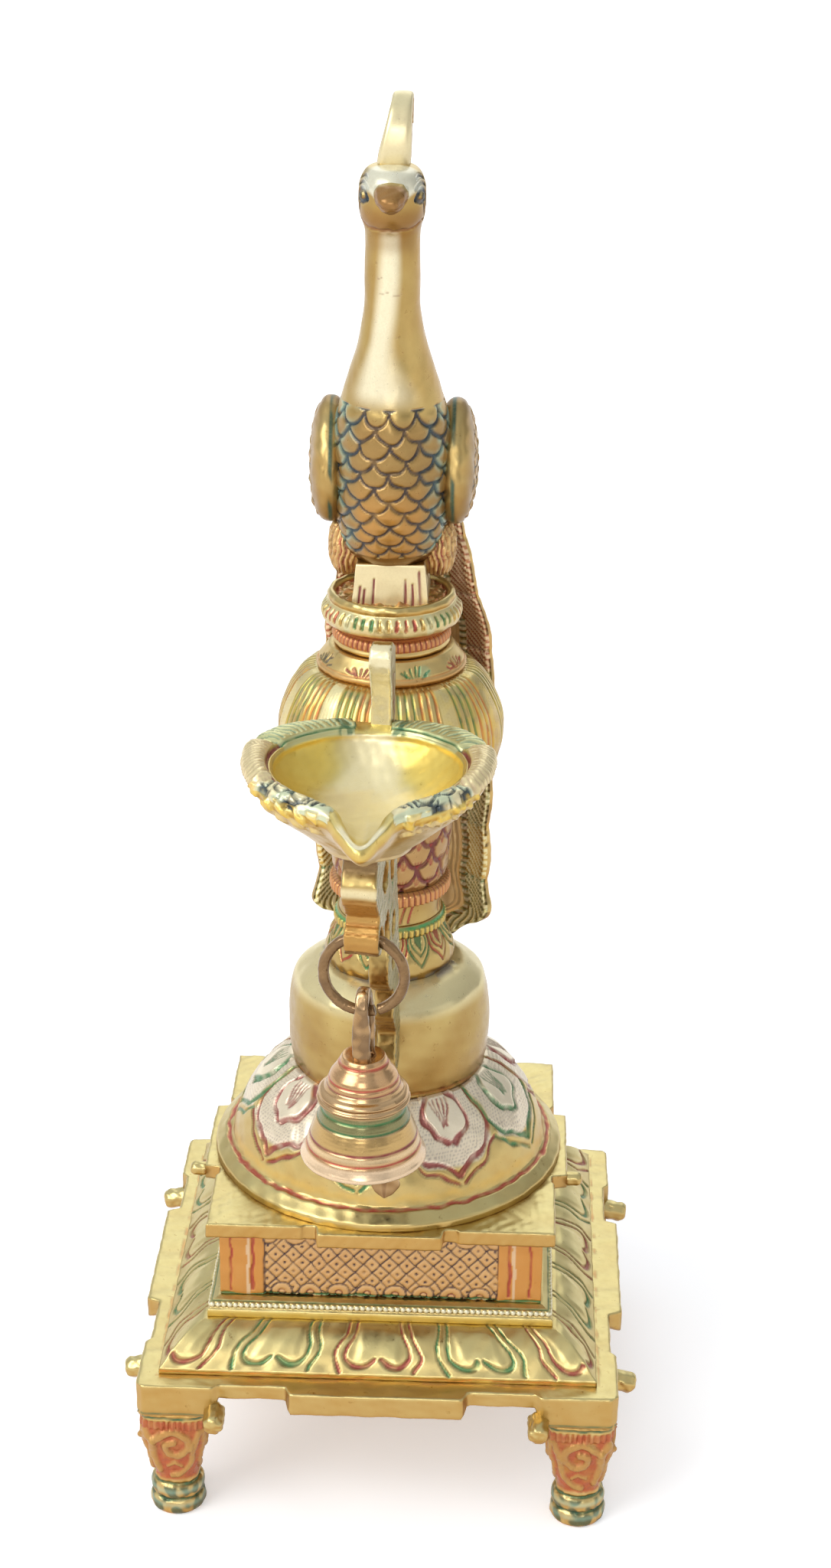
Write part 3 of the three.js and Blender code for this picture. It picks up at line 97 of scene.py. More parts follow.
RED, DEEP_RED, ORANGE = shade("A5362F"), shade("7E2230"), shade("D8803A")
GREEN, LEAF, TEAL = shade("2B7445"), shade("57A05C"), shade("9CC8B4")
NAVY, MAROON, YELLOW, CREAM = shade("1F3440"), shade("3B1B2B"), shade("E9C63C"), shade("F0EBD2")
LEAD = shade("8B8788")
print("red lacquer in linear values", RED.round(3))

# %% [markdown]
# Cast brass is never quite even: the sand, the file and the polishing wheel leave slow waves. One cheap
# way to get such a value anywhere on a piece is to add up a few sine waves that run through space in
# random directions. It has no seam, because it only depends on where a point is.
# %% Slow waves through space
WAVES = 7


def ripple(points, size, seed):
    """Adds sine waves of about `size` mm in random directions. The sum is between about -1 and 1."""
    draw = np.random.default_rng(seed)
    total = np.zeros(points.shape[:-1])
    for _ in range(WAVES):
        way = draw.normal(size=3)
        way *= 2 * math.pi / size * draw.uniform(0.6, 1.6) / np.linalg.norm(way)
        total += np.sin(points @ way + draw.uniform(0, 2 * math.pi))
    return total / math.sqrt(WAVES)


def ease(value):
    """A soft step: 0 below 0, 1 above 1 and a smooth climb in between."""
    value = np.clip(value, 0, 1)
    return value * value * (3 - 2 * value)


# %% [markdown]
# Outlines are lists of points. Some are filed straight from corner to corner, others run in a smooth
# curve. Both are walked at even steps, so that the surface gets the same fineness all over.
# %% Walk along outlines


def walked(points):
    """The way walked to each point of a line, in mm."""
    return np.concatenate([[0], np.cumsum(np.linalg.norm(np.diff(points, axis=0), axis=1))])


def even(points, step):
    """Points at even distances along a line through the given points."""
    points = np.asarray(points, float)
    length = walked(points)
    stops = np.linspace(0, length[-1], max(2, math.ceil(length[-1] / step) + 1))
    return np.stack([np.interp(stops, length, column) for column in points.T], axis=1)


def straight(points, step=0.5, rounding=1):
    """Walks from corner to corner and then rounds the corners: each point moves to the mean of its
    neighbours, `rounding` times."""
    points = [np.asarray(point, float) for point in points]
    legs = [even([a, b], step)[:-1] for a, b in zip(points[:-1], points[1:])]
    line = np.concatenate(legs + [points[-1][None]])
    for _ in range(rounding):
        line[1:-1] = (line[:-2] + 2 * line[1:-1] + line[2:]) / 4
    return line


def cubic(a, b, c, d, t):
    """A smooth way from b to c at share t, with a before and d behind: four points in cubic weights."""
    return 0.5 * (2 * b + (c - a) * t + (2 * a - 5 * b + 4 * c - d) * t ** 2 + (3 * b - a - 3 * c + d) * t ** 3)


def curve(points, step=0.5, fine=12):
    """A smooth curve through the points, walked at even steps."""
    points = np.asarray(points, float)
    line = np.concatenate([2 * points[:1] - points[1:2], points, 2 * points[-1:] - points[-2:-1]])
    t = np.linspace(0, 1, fine, endpoint=False)[None, :, None]
    body = cubic(*(line[k:len(line) - 3 + k][:, None] for k in range(4)), t)
    return even(np.concatenate([body.reshape(-1, points.shape[1]), points[-1:]]), step)


def joined(*lines):
    """Lines that end where the next one starts, as one line."""
    return np.concatenate([line[:-1] for line in lines[:-1]] + [lines[-1]])


def heading(path):
    """The direction of a path at each of its points, one long."""
    way = np.gradient(path, axis=0)
    return way / np.linalg.norm(way, axis=1, keepdims=True)


# %% [markdown]
# A chisel follows a line on the metal. For that the script needs, at every point of a surface, the
# distance to the line. Points far from the line keep a large value and cost nothing.
# %% Distance to a chased line
FAR = 99.0


def away(x, y, line, reach=4.0):
    """Shortest distance in mm from each (x, y) to a line of straight steps; FAR beyond its reach."""
    line = np.asarray(line, float)
    near = ((x > line[:, 0].min() - reach) & (x < line[:, 0].max() + reach)
            & (y > line[:, 1].min() - reach) & (y < line[:, 1].max() + reach))
    px, py = x[near], y[near]
    best = np.full(px.shape, FAR ** 2)
    for (ax, ay), (bx, by) in zip(line[:-1], line[1:]):
        dx, dy = bx - ax, by - ay
        t = np.clip(((px - ax) * dx + (py - ay) * dy) / (dx * dx + dy * dy + 1e-12), 0, 1)
        best = np.minimum(best, (px - ax - t * dx) ** 2 + (py - ay - t * dy) ** 2)
    result = np.full(x.shape, FAR)
    result[near] = np.sqrt(best)
    return result


# %% [markdown]
# Every casting is a skin: a grid of points whose rows run along its outline and whose columns run round
# it. The skin also keeps how far the chisel has raised or sunk each point, and how much lacquer lies
# there. Grids were chosen over sculpting because a groove can then be told exactly where to go.
# %% The skin of a casting


class Skin:
    """A grid of points with relief in mm along its normal, lacquer as colour and cover, and pattern
    coordinates across (columns) and along (rows). Chisel and lacquer stay where `shown` is true."""

    def __init__(self, points, across=0.0, along=0.0, ring=True, loop=False, poles=(False, False)):
        self.points = np.asarray(points, float)
        size = self.points.shape[:2]
        self.across = np.broadcast_to(across, size) + 0.0
        self.along = np.broadcast_to(along, size) + 0.0
        self.ring, self.loop, self.poles, self.shown = ring, loop, poles, True
        self.relief = np.zeros(size)
        self.paint = np.zeros(size + (4,))

    def radius(self):
        """How far each point is from the lamp's axis."""
        return np.hypot(self.points[..., 0], self.points[..., 1])

    def square(self):
        """How far out each point is on a square about the axis: the larger of |x| and |y|."""
        return np.maximum(np.abs(self.points[..., 0]), np.abs(self.points[..., 1]))

    def wave(self, size, seed):
        """Slow waves over the skin."""
        return ripple(self.points, size, seed)

    def travel(self, points, axis, closed):
        """How the grid moves on from one row or column to the next."""
        if closed:
            return np.roll(points, -1, axis) - np.roll(points, 1, axis)
        return np.gradient(points, axis=axis)

    def normals(self, points):
        """Across the columns' travel and the rows' travel stands the normal."""
        cross = np.cross(self.travel(points, 1, self.ring), self.travel(points, 0, self.loop))
        return cross / np.maximum(np.linalg.norm(cross, axis=2, keepdims=True), 1e-9)

    def tint(self, colour, cover):
        """Lays lacquer over what is there, as one layer of paint over another."""
        cover = np.clip(cover * self.shown, 0, 1)
        below = self.paint[..., 3] * (1 - cover)
        total = cover + below
        mixed = self.paint[..., :3] * below[..., None] + colour * cover[..., None]
        self.paint[..., :3] = mixed / np.maximum(total, 1e-6)[..., None]
        self.paint[..., 3] = total

    def cut(self, distance, width, depth, colour=None, cover=0.9, where=True):
        """Sinks a groove of that width and depth where the distance is small and rubs lacquer into it."""
        share = np.clip(1 - 2 * np.where(where & self.shown, distance, FAR) / width, 0, 1)
        self.relief -= depth * ease(share * 1.4)
        if colour is not None:
            self.tint(colour, cover * ease(share * 2.2) * self.worn())

    def chase(self, u, v, lines, depth, colour, cover=0.9, where=True):
        """Cuts a groove along each (line, width) of a list, in the pattern's own coordinates u and v."""
        for line, width in lines:
            self.cut(away(u, v, line), width, depth, colour, cover, where)

    def bead(self, distance, width, height, where=True):
        """Raises a round bead of that width and height along a line."""
        distance = np.where(where & self.shown, distance, FAR)
        self.relief += height * np.sqrt(np.clip(1 - (2 * distance / width) ** 2, 0, 1))

    def worn(self):
        """Lacquer that has come off in places: nearly full, with thin spots a few mm wide."""
        return np.clip(0.93 + 0.28 * self.wave(5.5, 11), 0.35, 1)

    def rough(self, height, size, seed):
        """Raises and lowers the whole skin in slow waves, as sand casting does."""
        self.relief += height * self.wave(size, seed)

    def finished(self):
        """Points with their relief, faces as quads and pole triangles, lacquer, and painted light with polish."""
        points = self.points + self.relief[..., None] * self.normals(self.points)
        rows, cols = self.relief.shape
        # painted light with polish: paler facing up and on proud edges, painted shade on walls that lean down and in
        # sunk places
        light_and_polish = light_and_polish_of(self.normals(points), self.relief)
        r = np.arange(rows if self.loop else rows - 1)[:, None]
        c = np.arange(cols if self.ring else cols - 1)[None, :]
        here, above = r * cols, (r + 1) % rows * cols
        on = (c + 1) % cols
        quads = np.stack([here + c, here + on, above + on, above + c], axis=-1).reshape(-1, 4)
        flat, paint, light_and_polish = points.reshape(-1, 3), self.paint.reshape(-1, 4), light_and_polish.reshape(-1, 1)
        tris = [np.zeros((0, 3), int)]
        for pole, row in ((0, 0), (1, rows - 1)):
            if self.poles[pole]:
                edge = row * cols + np.arange(cols)
                ends = [np.roll(edge, -1), edge] if pole == 0 else [edge, np.roll(edge, -1)]
                tris.append(np.stack([*ends, np.full(cols, len(flat))], axis=-1))
                flat, paint, light_and_polish = (np.concatenate([data, data[edge].mean(0, keepdims=True)])
                                     for data in (flat, paint, light_and_polish))
        return flat, quads, np.concatenate(tris), paint, light_and_polish


def light_and_polish_of(normals, relief):
    """Painted light and polish: near 1 where the surface faces up, a painted highlight as from light above, and
    where it stands proud and is polished; near 0 as painted shade on walls that lean down and in sunk places."""
    return np.clip(0.3 + 0.62 * normals[..., 2] + 0.35 * np.clip(relief, -0.5, 0.5), 0, 1)


# %% [markdown]
# A material is a tree of nodes. Writing one in code gets long, so this small helper adds a node, sets its
# values and joins it to others in one line.
# %% Add and join nodes


class Wiring:
    """Adds nodes to a tree. A value for a socket is a number, a colour or the output of another node."""

    def __init__(self, tree):
        self.tree = tree

    def feed(self, socket, value):
        """Sets a socket, or links it to an output."""
        if isinstance(value, bpy.types.NodeSocket):
            self.tree.links.new(value, socket)
        else:
            socket.default_value = (*value, 1.0) if isinstance(value, np.ndarray) else value

    def add(self, kind, *fed, **values):
        """A new node: names with a capital are sockets, the others settings, and the rest is fed in order."""
        made = self.tree.nodes.new("ShaderNode" + kind)
        for key, value in values.items():
            if key[0].isupper():
                self.feed(made.inputs[key.replace("_", " ")], value)
            else:
                setattr(made, key, value)
        for socket, value in zip(made.inputs, fed):
            self.feed(socket, value)
        return made

    def maths(self, operation, *terms, clamp=True):
        """One sum of numbers, kept between 0 and 1 with clamp."""
        return self.add("Math", *terms, operation=operation, use_clamp=clamp).outputs[0]

    def blend(self, factor, first, second):
        """Mixes two colours: the first at factor 0, the second at 1."""
        made = self.add("Mix", data_type="RGBA")
        for at, value in ((0, factor), (6, first), (7, second)):
            self.feed(made.inputs[at], value)
        return made.outputs[2]


print("node helper ready")

# %% [markdown]
# Brass is painted pale where it faces up and stands proud, and orange on walls that lean down and in sunk
# places: painted light and shade, with polish on the proud edges. One recipe makes all the finishes. A slow
# noise and this painted light mix two brass colours, the lacquer attribute lies over them, and a fine noise
# gives the grain of the casting. Lacquer isn't metal, so the metallic value falls where it lies.
# %% One recipe for all brass finishes
GRAIN_PER_METRE, CLOUD_PER_METRE, SPECK_PER_METRE = 1500.0, 55.0, 420.0
BUMP_METRES = 0.0002


def brass(name, pale, deep, rough=0.34, cloud=0.35, grain=0.10):
    """A node material: colour = pale and deep brass mixed by clouds and by the painted light and polish, pale as the
    painted highlight and deep as the painted shade, then lacquer over it.
    """
    material = bpy.data.materials.new(name)
    material.use_nodes = True
    shader = material.node_tree.nodes["Principled BSDF"]
    wiring = Wiring(material.node_tree)
    place = wiring.add("TexCoord").outputs["Object"]
    clouds, specks, grains = (
        wiring.add("TexNoise", Vector=place, Scale=scale, Detail=detail, Roughness=harsh).outputs["Fac"]
        for scale, detail, harsh in ((CLOUD_PER_METRE, 4.0, 0.6), (SPECK_PER_METRE, 5.0, 0.65),
                                     (GRAIN_PER_METRE, 3.0, 0.7)))
    # the painted light and polish of each point
    light_and_polish = wiring.add("Attribute", attribute_name="light_and_polish").outputs["Fac"]
    enamel = wiring.add("Attribute", attribute_name="enamel").outputs
    cloudy = wiring.maths("MULTIPLY_ADD", clouds, 2.0 * cloud, -cloud, clamp=False)
    metal = wiring.blend(wiring.maths("ADD", light_and_polish, cloudy), shade(deep), shade(pale))
    pits = wiring.maths("MULTIPLY_ADD", specks, -9.0, 3.35)
    metal = wiring.blend(wiring.maths("MULTIPLY", pits, 0.55), metal, shade(deep) * 0.55)
    thin = wiring.maths("MULTIPLY_ADD", grains, 0.5, 0.72)
    cover = wiring.maths("MULTIPLY", enamel["Alpha"], thin)
    bump = wiring.add("Bump", Strength=grain, Distance=BUMP_METRES, Height=grains)
    for socket, value in (("Base Color", wiring.blend(cover, metal, enamel["Color"])),
                          ("Metallic", wiring.maths("MULTIPLY_ADD", cover, -0.6, 1.0)),
                          ("Roughness", wiring.maths("MULTIPLY_ADD", specks, 0.3, rough - 0.15)),
                          ("Normal", bump.outputs["Normal"])):
        wiring.feed(shader.inputs[socket], value)
    return material


FINISH = {
    "pale_brass": brass("pale_brass", "D2C488", "B08440", 0.34, 0.2),
    "gold_brass": brass("gold_brass", "D2BE7E", "936C34", 0.32, 0.15),
    "basin_brass": brass("basin_brass", "E6D88E", "B98F3C", 0.36, 0.2),
    "copper_brass": brass("copper_brass", "DDB98A", "7E5C36", 0.24, 0.1, 0.04),
    "painted_brass": brass("painted_brass", "DCC88A", "B5853F", 0.38, 0.25),
    "steel": brass("steel", "B9BBBD", "6E7073", 0.4, 0.3),
}
print("finishes", sorted(FINISH))

# %% [markdown]
# One casting may need several skins, such as a body and its thighs. They are put into one mesh as plain
# arrays of points, corners and colours, which is far quicker than adding faces one by one. The casting
# is then named after the imported node it stands for, which is hidden, put under the part of the lamp it
# moves with and given its finish.
# %% Cast the skins into one piece


def dress(piece, node, slot, body, paint, light_and_polish):
    """Gives a piece its lacquer, its painted light and polish and its finish, puts it among the bodies and hides the
    imported node it stands for.
    """
    mesh = piece.data
    mesh.shade_smooth()
    mesh.color_attributes.new("enamel", "FLOAT_COLOR", "POINT").data.foreach_set("color", paint.ravel())
    # painted light and polish, stored per point
    mesh.attributes.new("light_and_polish", "FLOAT", "POINT").data.foreach_set("value", light_and_polish.ravel())
    mesh.materials.clear()
    mesh.materials.append(FINISH[slot])
    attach(piece, body)
    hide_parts(node)
    print(piece.name, "triangles", len(mesh.loops) - 2 * len(mesh.polygons))


def cast(node, slot, *skins, body="lamp"):
    """Joins the skins into one piece in the finish of its slot, in the place of the named node."""
    flats, corners, sizes, paints, lights_and_polish, count = [], [], [], [], [], 0
    for skin in skins:
        flat, quads, tris, paint, light_and_polish = skin.finished()
        flats.append(flat), paints.append(paint), lights_and_polish.append(light_and_polish)
        corners += [quads.ravel() + count, tris.ravel() + count]
        sizes += [np.full(len(quads), 4), np.full(len(tris), 3)]
        count += len(flat)
    sizes, corners = np.concatenate(sizes), np.concatenate(corners)
    mesh = bpy.data.meshes.new(f"{node}_cast")
    mesh.vertices.add(count)
    mesh.vertices.foreach_set("co", (np.concatenate(flats) * MM + AXIS).ravel())
    mesh.loops.add(len(corners))
    mesh.loops.foreach_set("vertex_index", corners)
    mesh.polygons.add(len(sizes))
    mesh.polygons.foreach_set("loop_start", np.cumsum(sizes) - sizes)
    mesh.update(calc_edges=True)
    mesh.validate()
    dress(put(mesh.name, mesh), node, slot, body, np.concatenate(paints), np.concatenate(lights_and_polish))


# %% [markdown]
# Most castings are round or square. A round one is an outline of radius and height turned about the
# axis. A square one is the same outline carried round four sides that meet in mitred corners. Both start
# in front and go round to the right, so that a pattern's place can be read off the lamp.
# %% Round and square castings


def full_turn(columns):
    """Even angles round a full turn, in radians."""
    return np.arange(columns) / columns * 2 * math.pi


def arc_mm(degrees, radius):
    """How long an angle in degrees is on a circle of that radius."""
    return degrees / 360 * 2 * math.pi * radius


def from_front(angle):
    """An angle in degrees from the front: right is positive, left is negative."""
    degrees = np.degrees(angle)
    return np.where(degrees > 180, degrees - 360, degrees)[None]


def around(angle, wide, deep, height, x=0.0, y=0.0):
    """Rings about an upright line: a point is (x + wide sin angle, y - deep cos angle, height)."""
    return np.stack(np.broadcast_arrays(x + wide * np.sin(angle), y - deep * np.cos(angle), height), axis=-1)


def turned(outline, base=0.0, columns=360, **options):
    """A profile of radius and height turned about the axis. Across is the angle in degrees from the
    front, along the way walked on the profile in mm."""
    radius, height = outline[:, :1], outline[:, 1:] + base
    angle = full_turn(columns)
    return Skin(around(angle, radius, radius, height), from_front(angle), walked(outline)[:, None], **options)


def squared(outline, base=0.0, per_side=200, **options):
    """A profile of half width and height carried round a square. Across is the place on the side as a
    share of its half, from -1 to 1, along the way walked on the profile in mm."""
    share = np.tile(np.arange(per_side) / per_side * 2 - 1, 4)
    turn = np.repeat(np.arange(4), per_side) * math.pi / 2
    plan_x, plan_y = np.sin(turn) + np.cos(turn) * share, -np.cos(turn) + np.sin(turn) * share
    half, height = outline[:, :1], outline[:, 1:] + base
    points = np.stack(np.broadcast_arrays(half * plan_x, half * plan_y, height), axis=-1)
    return Skin(points, share[None], walked(outline)[:, None], **options)


print("a quarter turn on a circle of 10 mm:", round(arc_mm(90, 10), 2), "mm")

# %% [markdown]
# Ornament repeats: petals round a disc, diamonds along a panel. Folding a coordinate turns all copies
# into one, so each motif is drawn once. Small things such as pegs and screws aren't on the axis, so they
# get a profile turned about any line.
# %% Repeats and small turned things


def repeat(value, pitch, first=0.0):
    """Which copy of a motif a value falls in, and its distance from that copy's middle."""
    count = np.round((value - first) / pitch)
    return count, value - first - count * pitch


def fold(value, pitch, first=0.0):
    """Only the distance from the nearest copy's middle."""
    return repeat(value, pitch, first)[1]


def stem(foot, way, outline, columns=24, sides=0):
    """A profile of radius and reach turned about the line from foot along way. With sides it is filed to
    that many flats: the radius grows by 1 / cos of the angle from the nearest flat's middle."""
    way = np.asarray(way, float) / np.linalg.norm(way)
    first = np.cross(way, [0.0, 0.0, 1.0] if abs(way[2]) < 0.9 else [1.0, 0.0, 0.0])
    first /= np.linalg.norm(first)
    second = np.cross(way, first)
    angle = full_turn(columns)
    flats = math.cos(math.pi / sides) / np.cos(fold(angle, 2 * math.pi / sides)) if sides else 1.0
    plan = (first * np.cos(angle)[:, None] + second * np.sin(angle)[:, None]) * np.reshape(flats, (-1, 1))
    points = foot + outline[:, :1, None] * plan[None] + outline[:, 1:, None] * way
    return Skin(points, np.degrees(angle)[None], outline[:, 1:], poles=(True, True))


def squareness(angle, power):
    """(|cos a|^p + |sin a|^p)^(1/p): a circle divided by it is squared off, the more the larger p is."""
    return (np.abs(np.cos(angle)) ** power + np.abs(np.sin(angle)) ** power) ** (1 / power)


print("7 folded at a pitch of 5:", fold(7.0, 5.0))

# %% [markdown]
# The four legs are little castings of their own: a turned foot with rings, and above it a block with a
# raised scroll on each face, in gold on red lacquer. The block is a circle that is squared off more and
# more towards the top, which a superellipse does with one power.
# %% Legs
LEG_AT, LEG_FACE = 63.8, 9.6
LEG_ROWS = [(5, 0, 2), (7.6, 0, 2), (8.0, 0.2, 2), (8.7, 1.2, 2), (8.7, 3.2, 2), (8.4, 4.6, 2), (7.6, 5.5, 2),
            (8.3, 6.4, 2), (8.5, 8.2, 2), (8.1, 9.8, 2), (7.0, 10.8, 2.3), (7.1, 13, 2.6), (7.4, 15, 3),
            (8.3, 19, 3.3), (9.1, 24, 3.6), (10, 27.5, 3.8), (10.5, 31, 4), (10.8, 39.7, 5)]
VOLUTE = [(-6.5, 30), (-1, 33.2), (4.6, 31), (5.4, 26.6), (2, 23.4), (-2.2, 24.6), (-2.8, 28), (0.2, 29)]
STALK, BUD = [(8.8, 33), (7.4, 27), (7.2, 20), (3.2, 15.6), (-1.5, 14.6)], [(-3.0, 18.8), (0.4, 20.2), (3.4, 18.6)]
LEG_LEAF = [(-9.5, 32.5), (-7.6, 28.5), (-8.4, 23), (-7.2, 17)]


def leg(x, y):
    """A superellipse lofted up the leg: radius = half / (|cos|^p + |sin|^p)^(1/p)."""
    half, height, power = (column[:, None] for column in straight(LEG_ROWS, 0.42).T)
    angle = full_turn(176)
    radius = half / squareness(angle, power)
    face, turn = repeat(np.degrees(angle), 90)
    skin = Skin(around(angle, radius, radius, height, x, y), turn[None] / 45 * LEG_FACE, height, poles=(True, True))
    z = skin.along
    block = ease((z - 12) / 1.2) * ease((37.6 - z) / 0.6)
    skin.tint(RED * 0.6 + ORANGE * 0.35, 0.95 * block * skin.worn())
    skin.relief -= 0.5 * block
    # the scroll is mirrored from face to face and from leg to leg
    u = skin.across * np.where(face % 2 == 0, 1.0, -1.0) * (1 if x * y > 0 else -1)
    for line, width, tall in ((curve(VOLUTE, 0.6), 2.9, 1.25), (curve(STALK, 0.8), 2.6, 1.0),
                              (curve(LEG_LEAF, 0.8), 3.4, 1.2), (BUD, 1.6, 0.6)):
        gap = away(u, z, line)
        skin.bead(gap, width, tall)
        skin.tint(shade("B98E48"), 0.8 * block * ease((width / 2 + 0.15 - gap) / 0.6))
    dentil = ease((z - 33.9) / 0.4) * ease((37.4 - z) / 0.4)
    skin.relief += 0.75 * dentil * ease((0.75 - np.abs(fold(skin.across, 1.9))) / 0.4)
    for at, width in ((38.6, 1.1), (10.9, 1.3), (5.5, 1.3)):
        skin.cut(np.abs(z - at + 0.25 * skin.wave(8, 3)), width, 0.25, GREEN * 0.55 + NAVY * 0.3)
    skin.tint(NAVY * 0.3 + GREEN * 0.3, 0.8 * ease((10.6 - z) / 0.8) * ease(0.6 + skin.wave(5, 42)))
    skin.tint(TEAL, 0.3 * ease(1 - np.abs(z - 3.6) / 1.4) + 0.35 * ease(1 - np.abs(z - 8.6) / 1.4))
    skin.rough(0.12, 3.2, 41)
    # the sole is filed flat
    skin.relief *= ease(z / 1.2)
    return skin


for x_side, x in (("left", -LEG_AT), ("right", LEG_AT)):
    for y_side, y in (("front", -LEG_AT), ("back", LEG_AT)):
        cast(f"leg_{y_side}_{x_side}", "painted_brass", leg(x, y))

# %% [markdown]
# The base plate is a hollow slab with a thick block at each corner, a step between the blocks and a tab
# in the middle of each edge. It is one square skin: the outline goes out under the plate, round the edge
# and back over the top, and the edge is moved by the place along the side. Pegs for small pendants stick
# out beside the blocks.
# %% Base plate
BASE_HALF, BASE_BLOCK, BASE_TAB = 75.0, 50.4, 27.0
BASE_RECESS, BASE_TAB_OUT, BASE_CHAMFER = 1.7, 2.3, 2.2
PLATE_TOP, PLATE_LOW, APRON_LOW, BLOCK_LOW = 51.0, 46.0, 43.4, 39.7
PEG, PEG_DROP = [(2.6, -1), (3.5, 0), (3.5, 6.4), (2.9, 7.7), (1.6, 8.2)], math.radians(12)


def stepped(plate, half, start, tab, recess):
    """Moves a square plate's edge out at the tabs and in beside them. Start is where the edge begins and
    how softly; tab and recess are how wide, how softly and how far. Returns 1 on the tabs, 0 beside them."""
    place = np.abs(plate.across * half)
    on_tab, between = (ease((wide - place) / soft) for wide, soft, _ in (tab, recess))
    out = ease((plate.square() - start[0]) / start[1]) * (tab[2] * on_tab - recess[2] * between * (1 - on_tab))
    x, y = plate.points[..., 0], plate.points[..., 1]
    sideways = np.abs(x) >= np.abs(y)
    x += np.sign(x) * out * sideways
    y += np.sign(y) * out * ~sideways
    return on_tab


def peg(foot, way, profile, step, height, seed):
    """An eight-sided peg from its foot along a way."""
    made = stem(foot, way, straight(profile, step), 40, 8)
    made.rough(height, 3, seed)
    return made


outline = joined(
    even([(0.5, PLATE_TOP), (66, PLATE_TOP)], 12),
    straight([(66, PLATE_TOP), (BASE_HALF, PLATE_TOP), (BASE_HALF, APRON_LOW), (72, APRON_LOW)], 0.6, 2),
    even([(72, APRON_LOW), (46, APRON_LOW)], 1.3), even([(46, APRON_LOW), (0.5, APRON_LOW)], 8))
base = squared(outline[::-1], per_side=170, poles=(True, True))
tab = stepped(base, BASE_HALF, (66, 6), (BASE_TAB + 1.6, 2.0, BASE_TAB_OUT), (BASE_BLOCK + 0.6, 1.4, BASE_RECESS))
x, y, z = (base.points[..., k] for k in range(3))
# the underside is lower under the blocks and the tabs, and the edge is stretched down to it
under = z < APRON_LOW + 0.01
in_block = ease((np.minimum(np.abs(x), np.abs(y)) - BASE_BLOCK + 0.8) / 1.4)
in_apron = ease((base.square() - 68.8) / 1.4)
low = PLATE_LOW + (APRON_LOW - PLATE_LOW) * in_apron * tab
low += (BLOCK_LOW - low) * in_block
wall = np.clip((PLATE_TOP - 1.5 - z) / (PLATE_TOP - 1.5 - APRON_LOW), 0, 1)
z[...] = np.where(under, low, z + wall * (low - APRON_LOW))
excess = np.clip(np.abs(x) + np.abs(y) - (2 * BASE_HALF - BASE_CHAMFER), 0, None) / 2
x -= np.sign(x) * excess
y -= np.sign(y) * excess
# painted shade: the plate's edge walls are a darker orange gold than its top
base.tint(shade("BC8A3E"), 0.25 * (base.square() > 72) * (z < PLATE_TOP - 0.4))
base.rough(0.12, 14, 5)
base.rough(0.05, 4, 6)
seam = np.where(z > PLATE_TOP - 0.5, np.abs(base.square() - 68.9), FAR)
base.cut(seam + 0.3 * base.wave(6, 8) + 0.2, 1.0, 0.1, ORANGE * 0.8, 0.5)
base.cut(np.abs(z - BLOCK_LOW - 1.0), 1.4, 0.15, GREEN * 0.6 + NAVY * 0.3, 0.85, base.square() > 74)
pegs = []
for side, turn in enumerate(full_turn(4)):
    ahead, aside = np.array([math.sin(turn), -math.cos(turn), 0]), np.array([math.cos(turn), math.sin(turn), 0])
    tilt = ahead * math.cos(PEG_DROP) - [0, 0, math.sin(PEG_DROP)]
    for hand in (-1, 1):
        foot = ahead * (BASE_HALF - BASE_RECESS) + aside * hand * BASE_BLOCK + [0, 0, 41.9]
        pegs.append(peg(foot, tilt, PEG, 0.5, 0.12, 9 + side))
cast("base_plate", "pale_brass", base, *pegs)

# %% [markdown]
# On the plate lies a cushion-shaped slope with a row of lotus petals on each side, chased with a gouge:
# each petal has two lines that run down from the top, swell and curl in at the foot. Petals under the
# corners are red, and red and green alternate between them. One half petal is drawn and mirrored.
# %% Petal slope
SLOPE_HALF, PETAL_PITCH, SLOPE_FACE = 68.3, 34.15, 19.4
INNER_PETAL = [(8.2, 17.6), (8.9, 13), (10.5, 8.2), (10.3, 4.9), (7.6, 2.6), (4.2, 2.7), (1.1, 4.9)]
OUTER_PETAL = [(11.2, 17.6), (12.2, 12.5), (13.7, 8.4), (14.0, 5.4), (11.9, 1.0)]
slope = squared(joined(
    straight([(68.3, 0), (68.3, 1.83)], 0.6, 0),
    curve([(68.3, 1.83), (66.74, 3.42), (63.75, 6.71), (59.72, 10), (55.3, 12.2)], 0.48),
    straight([(55.3, 12.2), (52.3, 12.2), (52.3, 9.2), (58.8, 5.5), (65.3, 0), (68.3, 0)], 1.6, 0))[:-1],
    level("petal_slope"), 270, loop=True)
run = np.where(slope.along < SLOPE_FACE, slope.along - 1.83, -FAR) + 0.35 * slope.wave(9, 21)
number, place = repeat(slope.across * SLOPE_HALF + 0.4 * slope.wave(11, 22), PETAL_PITCH)
place = np.abs(place)
petal_lines = [(curve(INNER_PETAL, 0.6), 1.3 + 0.9 * ease((7 - run) / 5)),
               (curve(OUTER_PETAL, 0.6), 1.15 + 0.4 * ease((6 - run) / 4))]
for chosen, ink in ((number % 2 != 0, GREEN), (number % 2 == 0, DEEP_RED * 0.6 + RED * 0.4)):
    slope.chase(place, run, petal_lines, 0.55, ink, where=chosen)
slope.relief += 0.28 * ease((8.2 - place) / 3) * ease((run - 2.5) / 3) * ease((17 - run) / 3)
slope.cut(np.abs(run + 0.9), 0.8, 0.1, ORANGE, 0.6, slope.along < 3)
slope.rough(0.08, 8, 23)
cast("petal_slope", "pale_brass", slope)

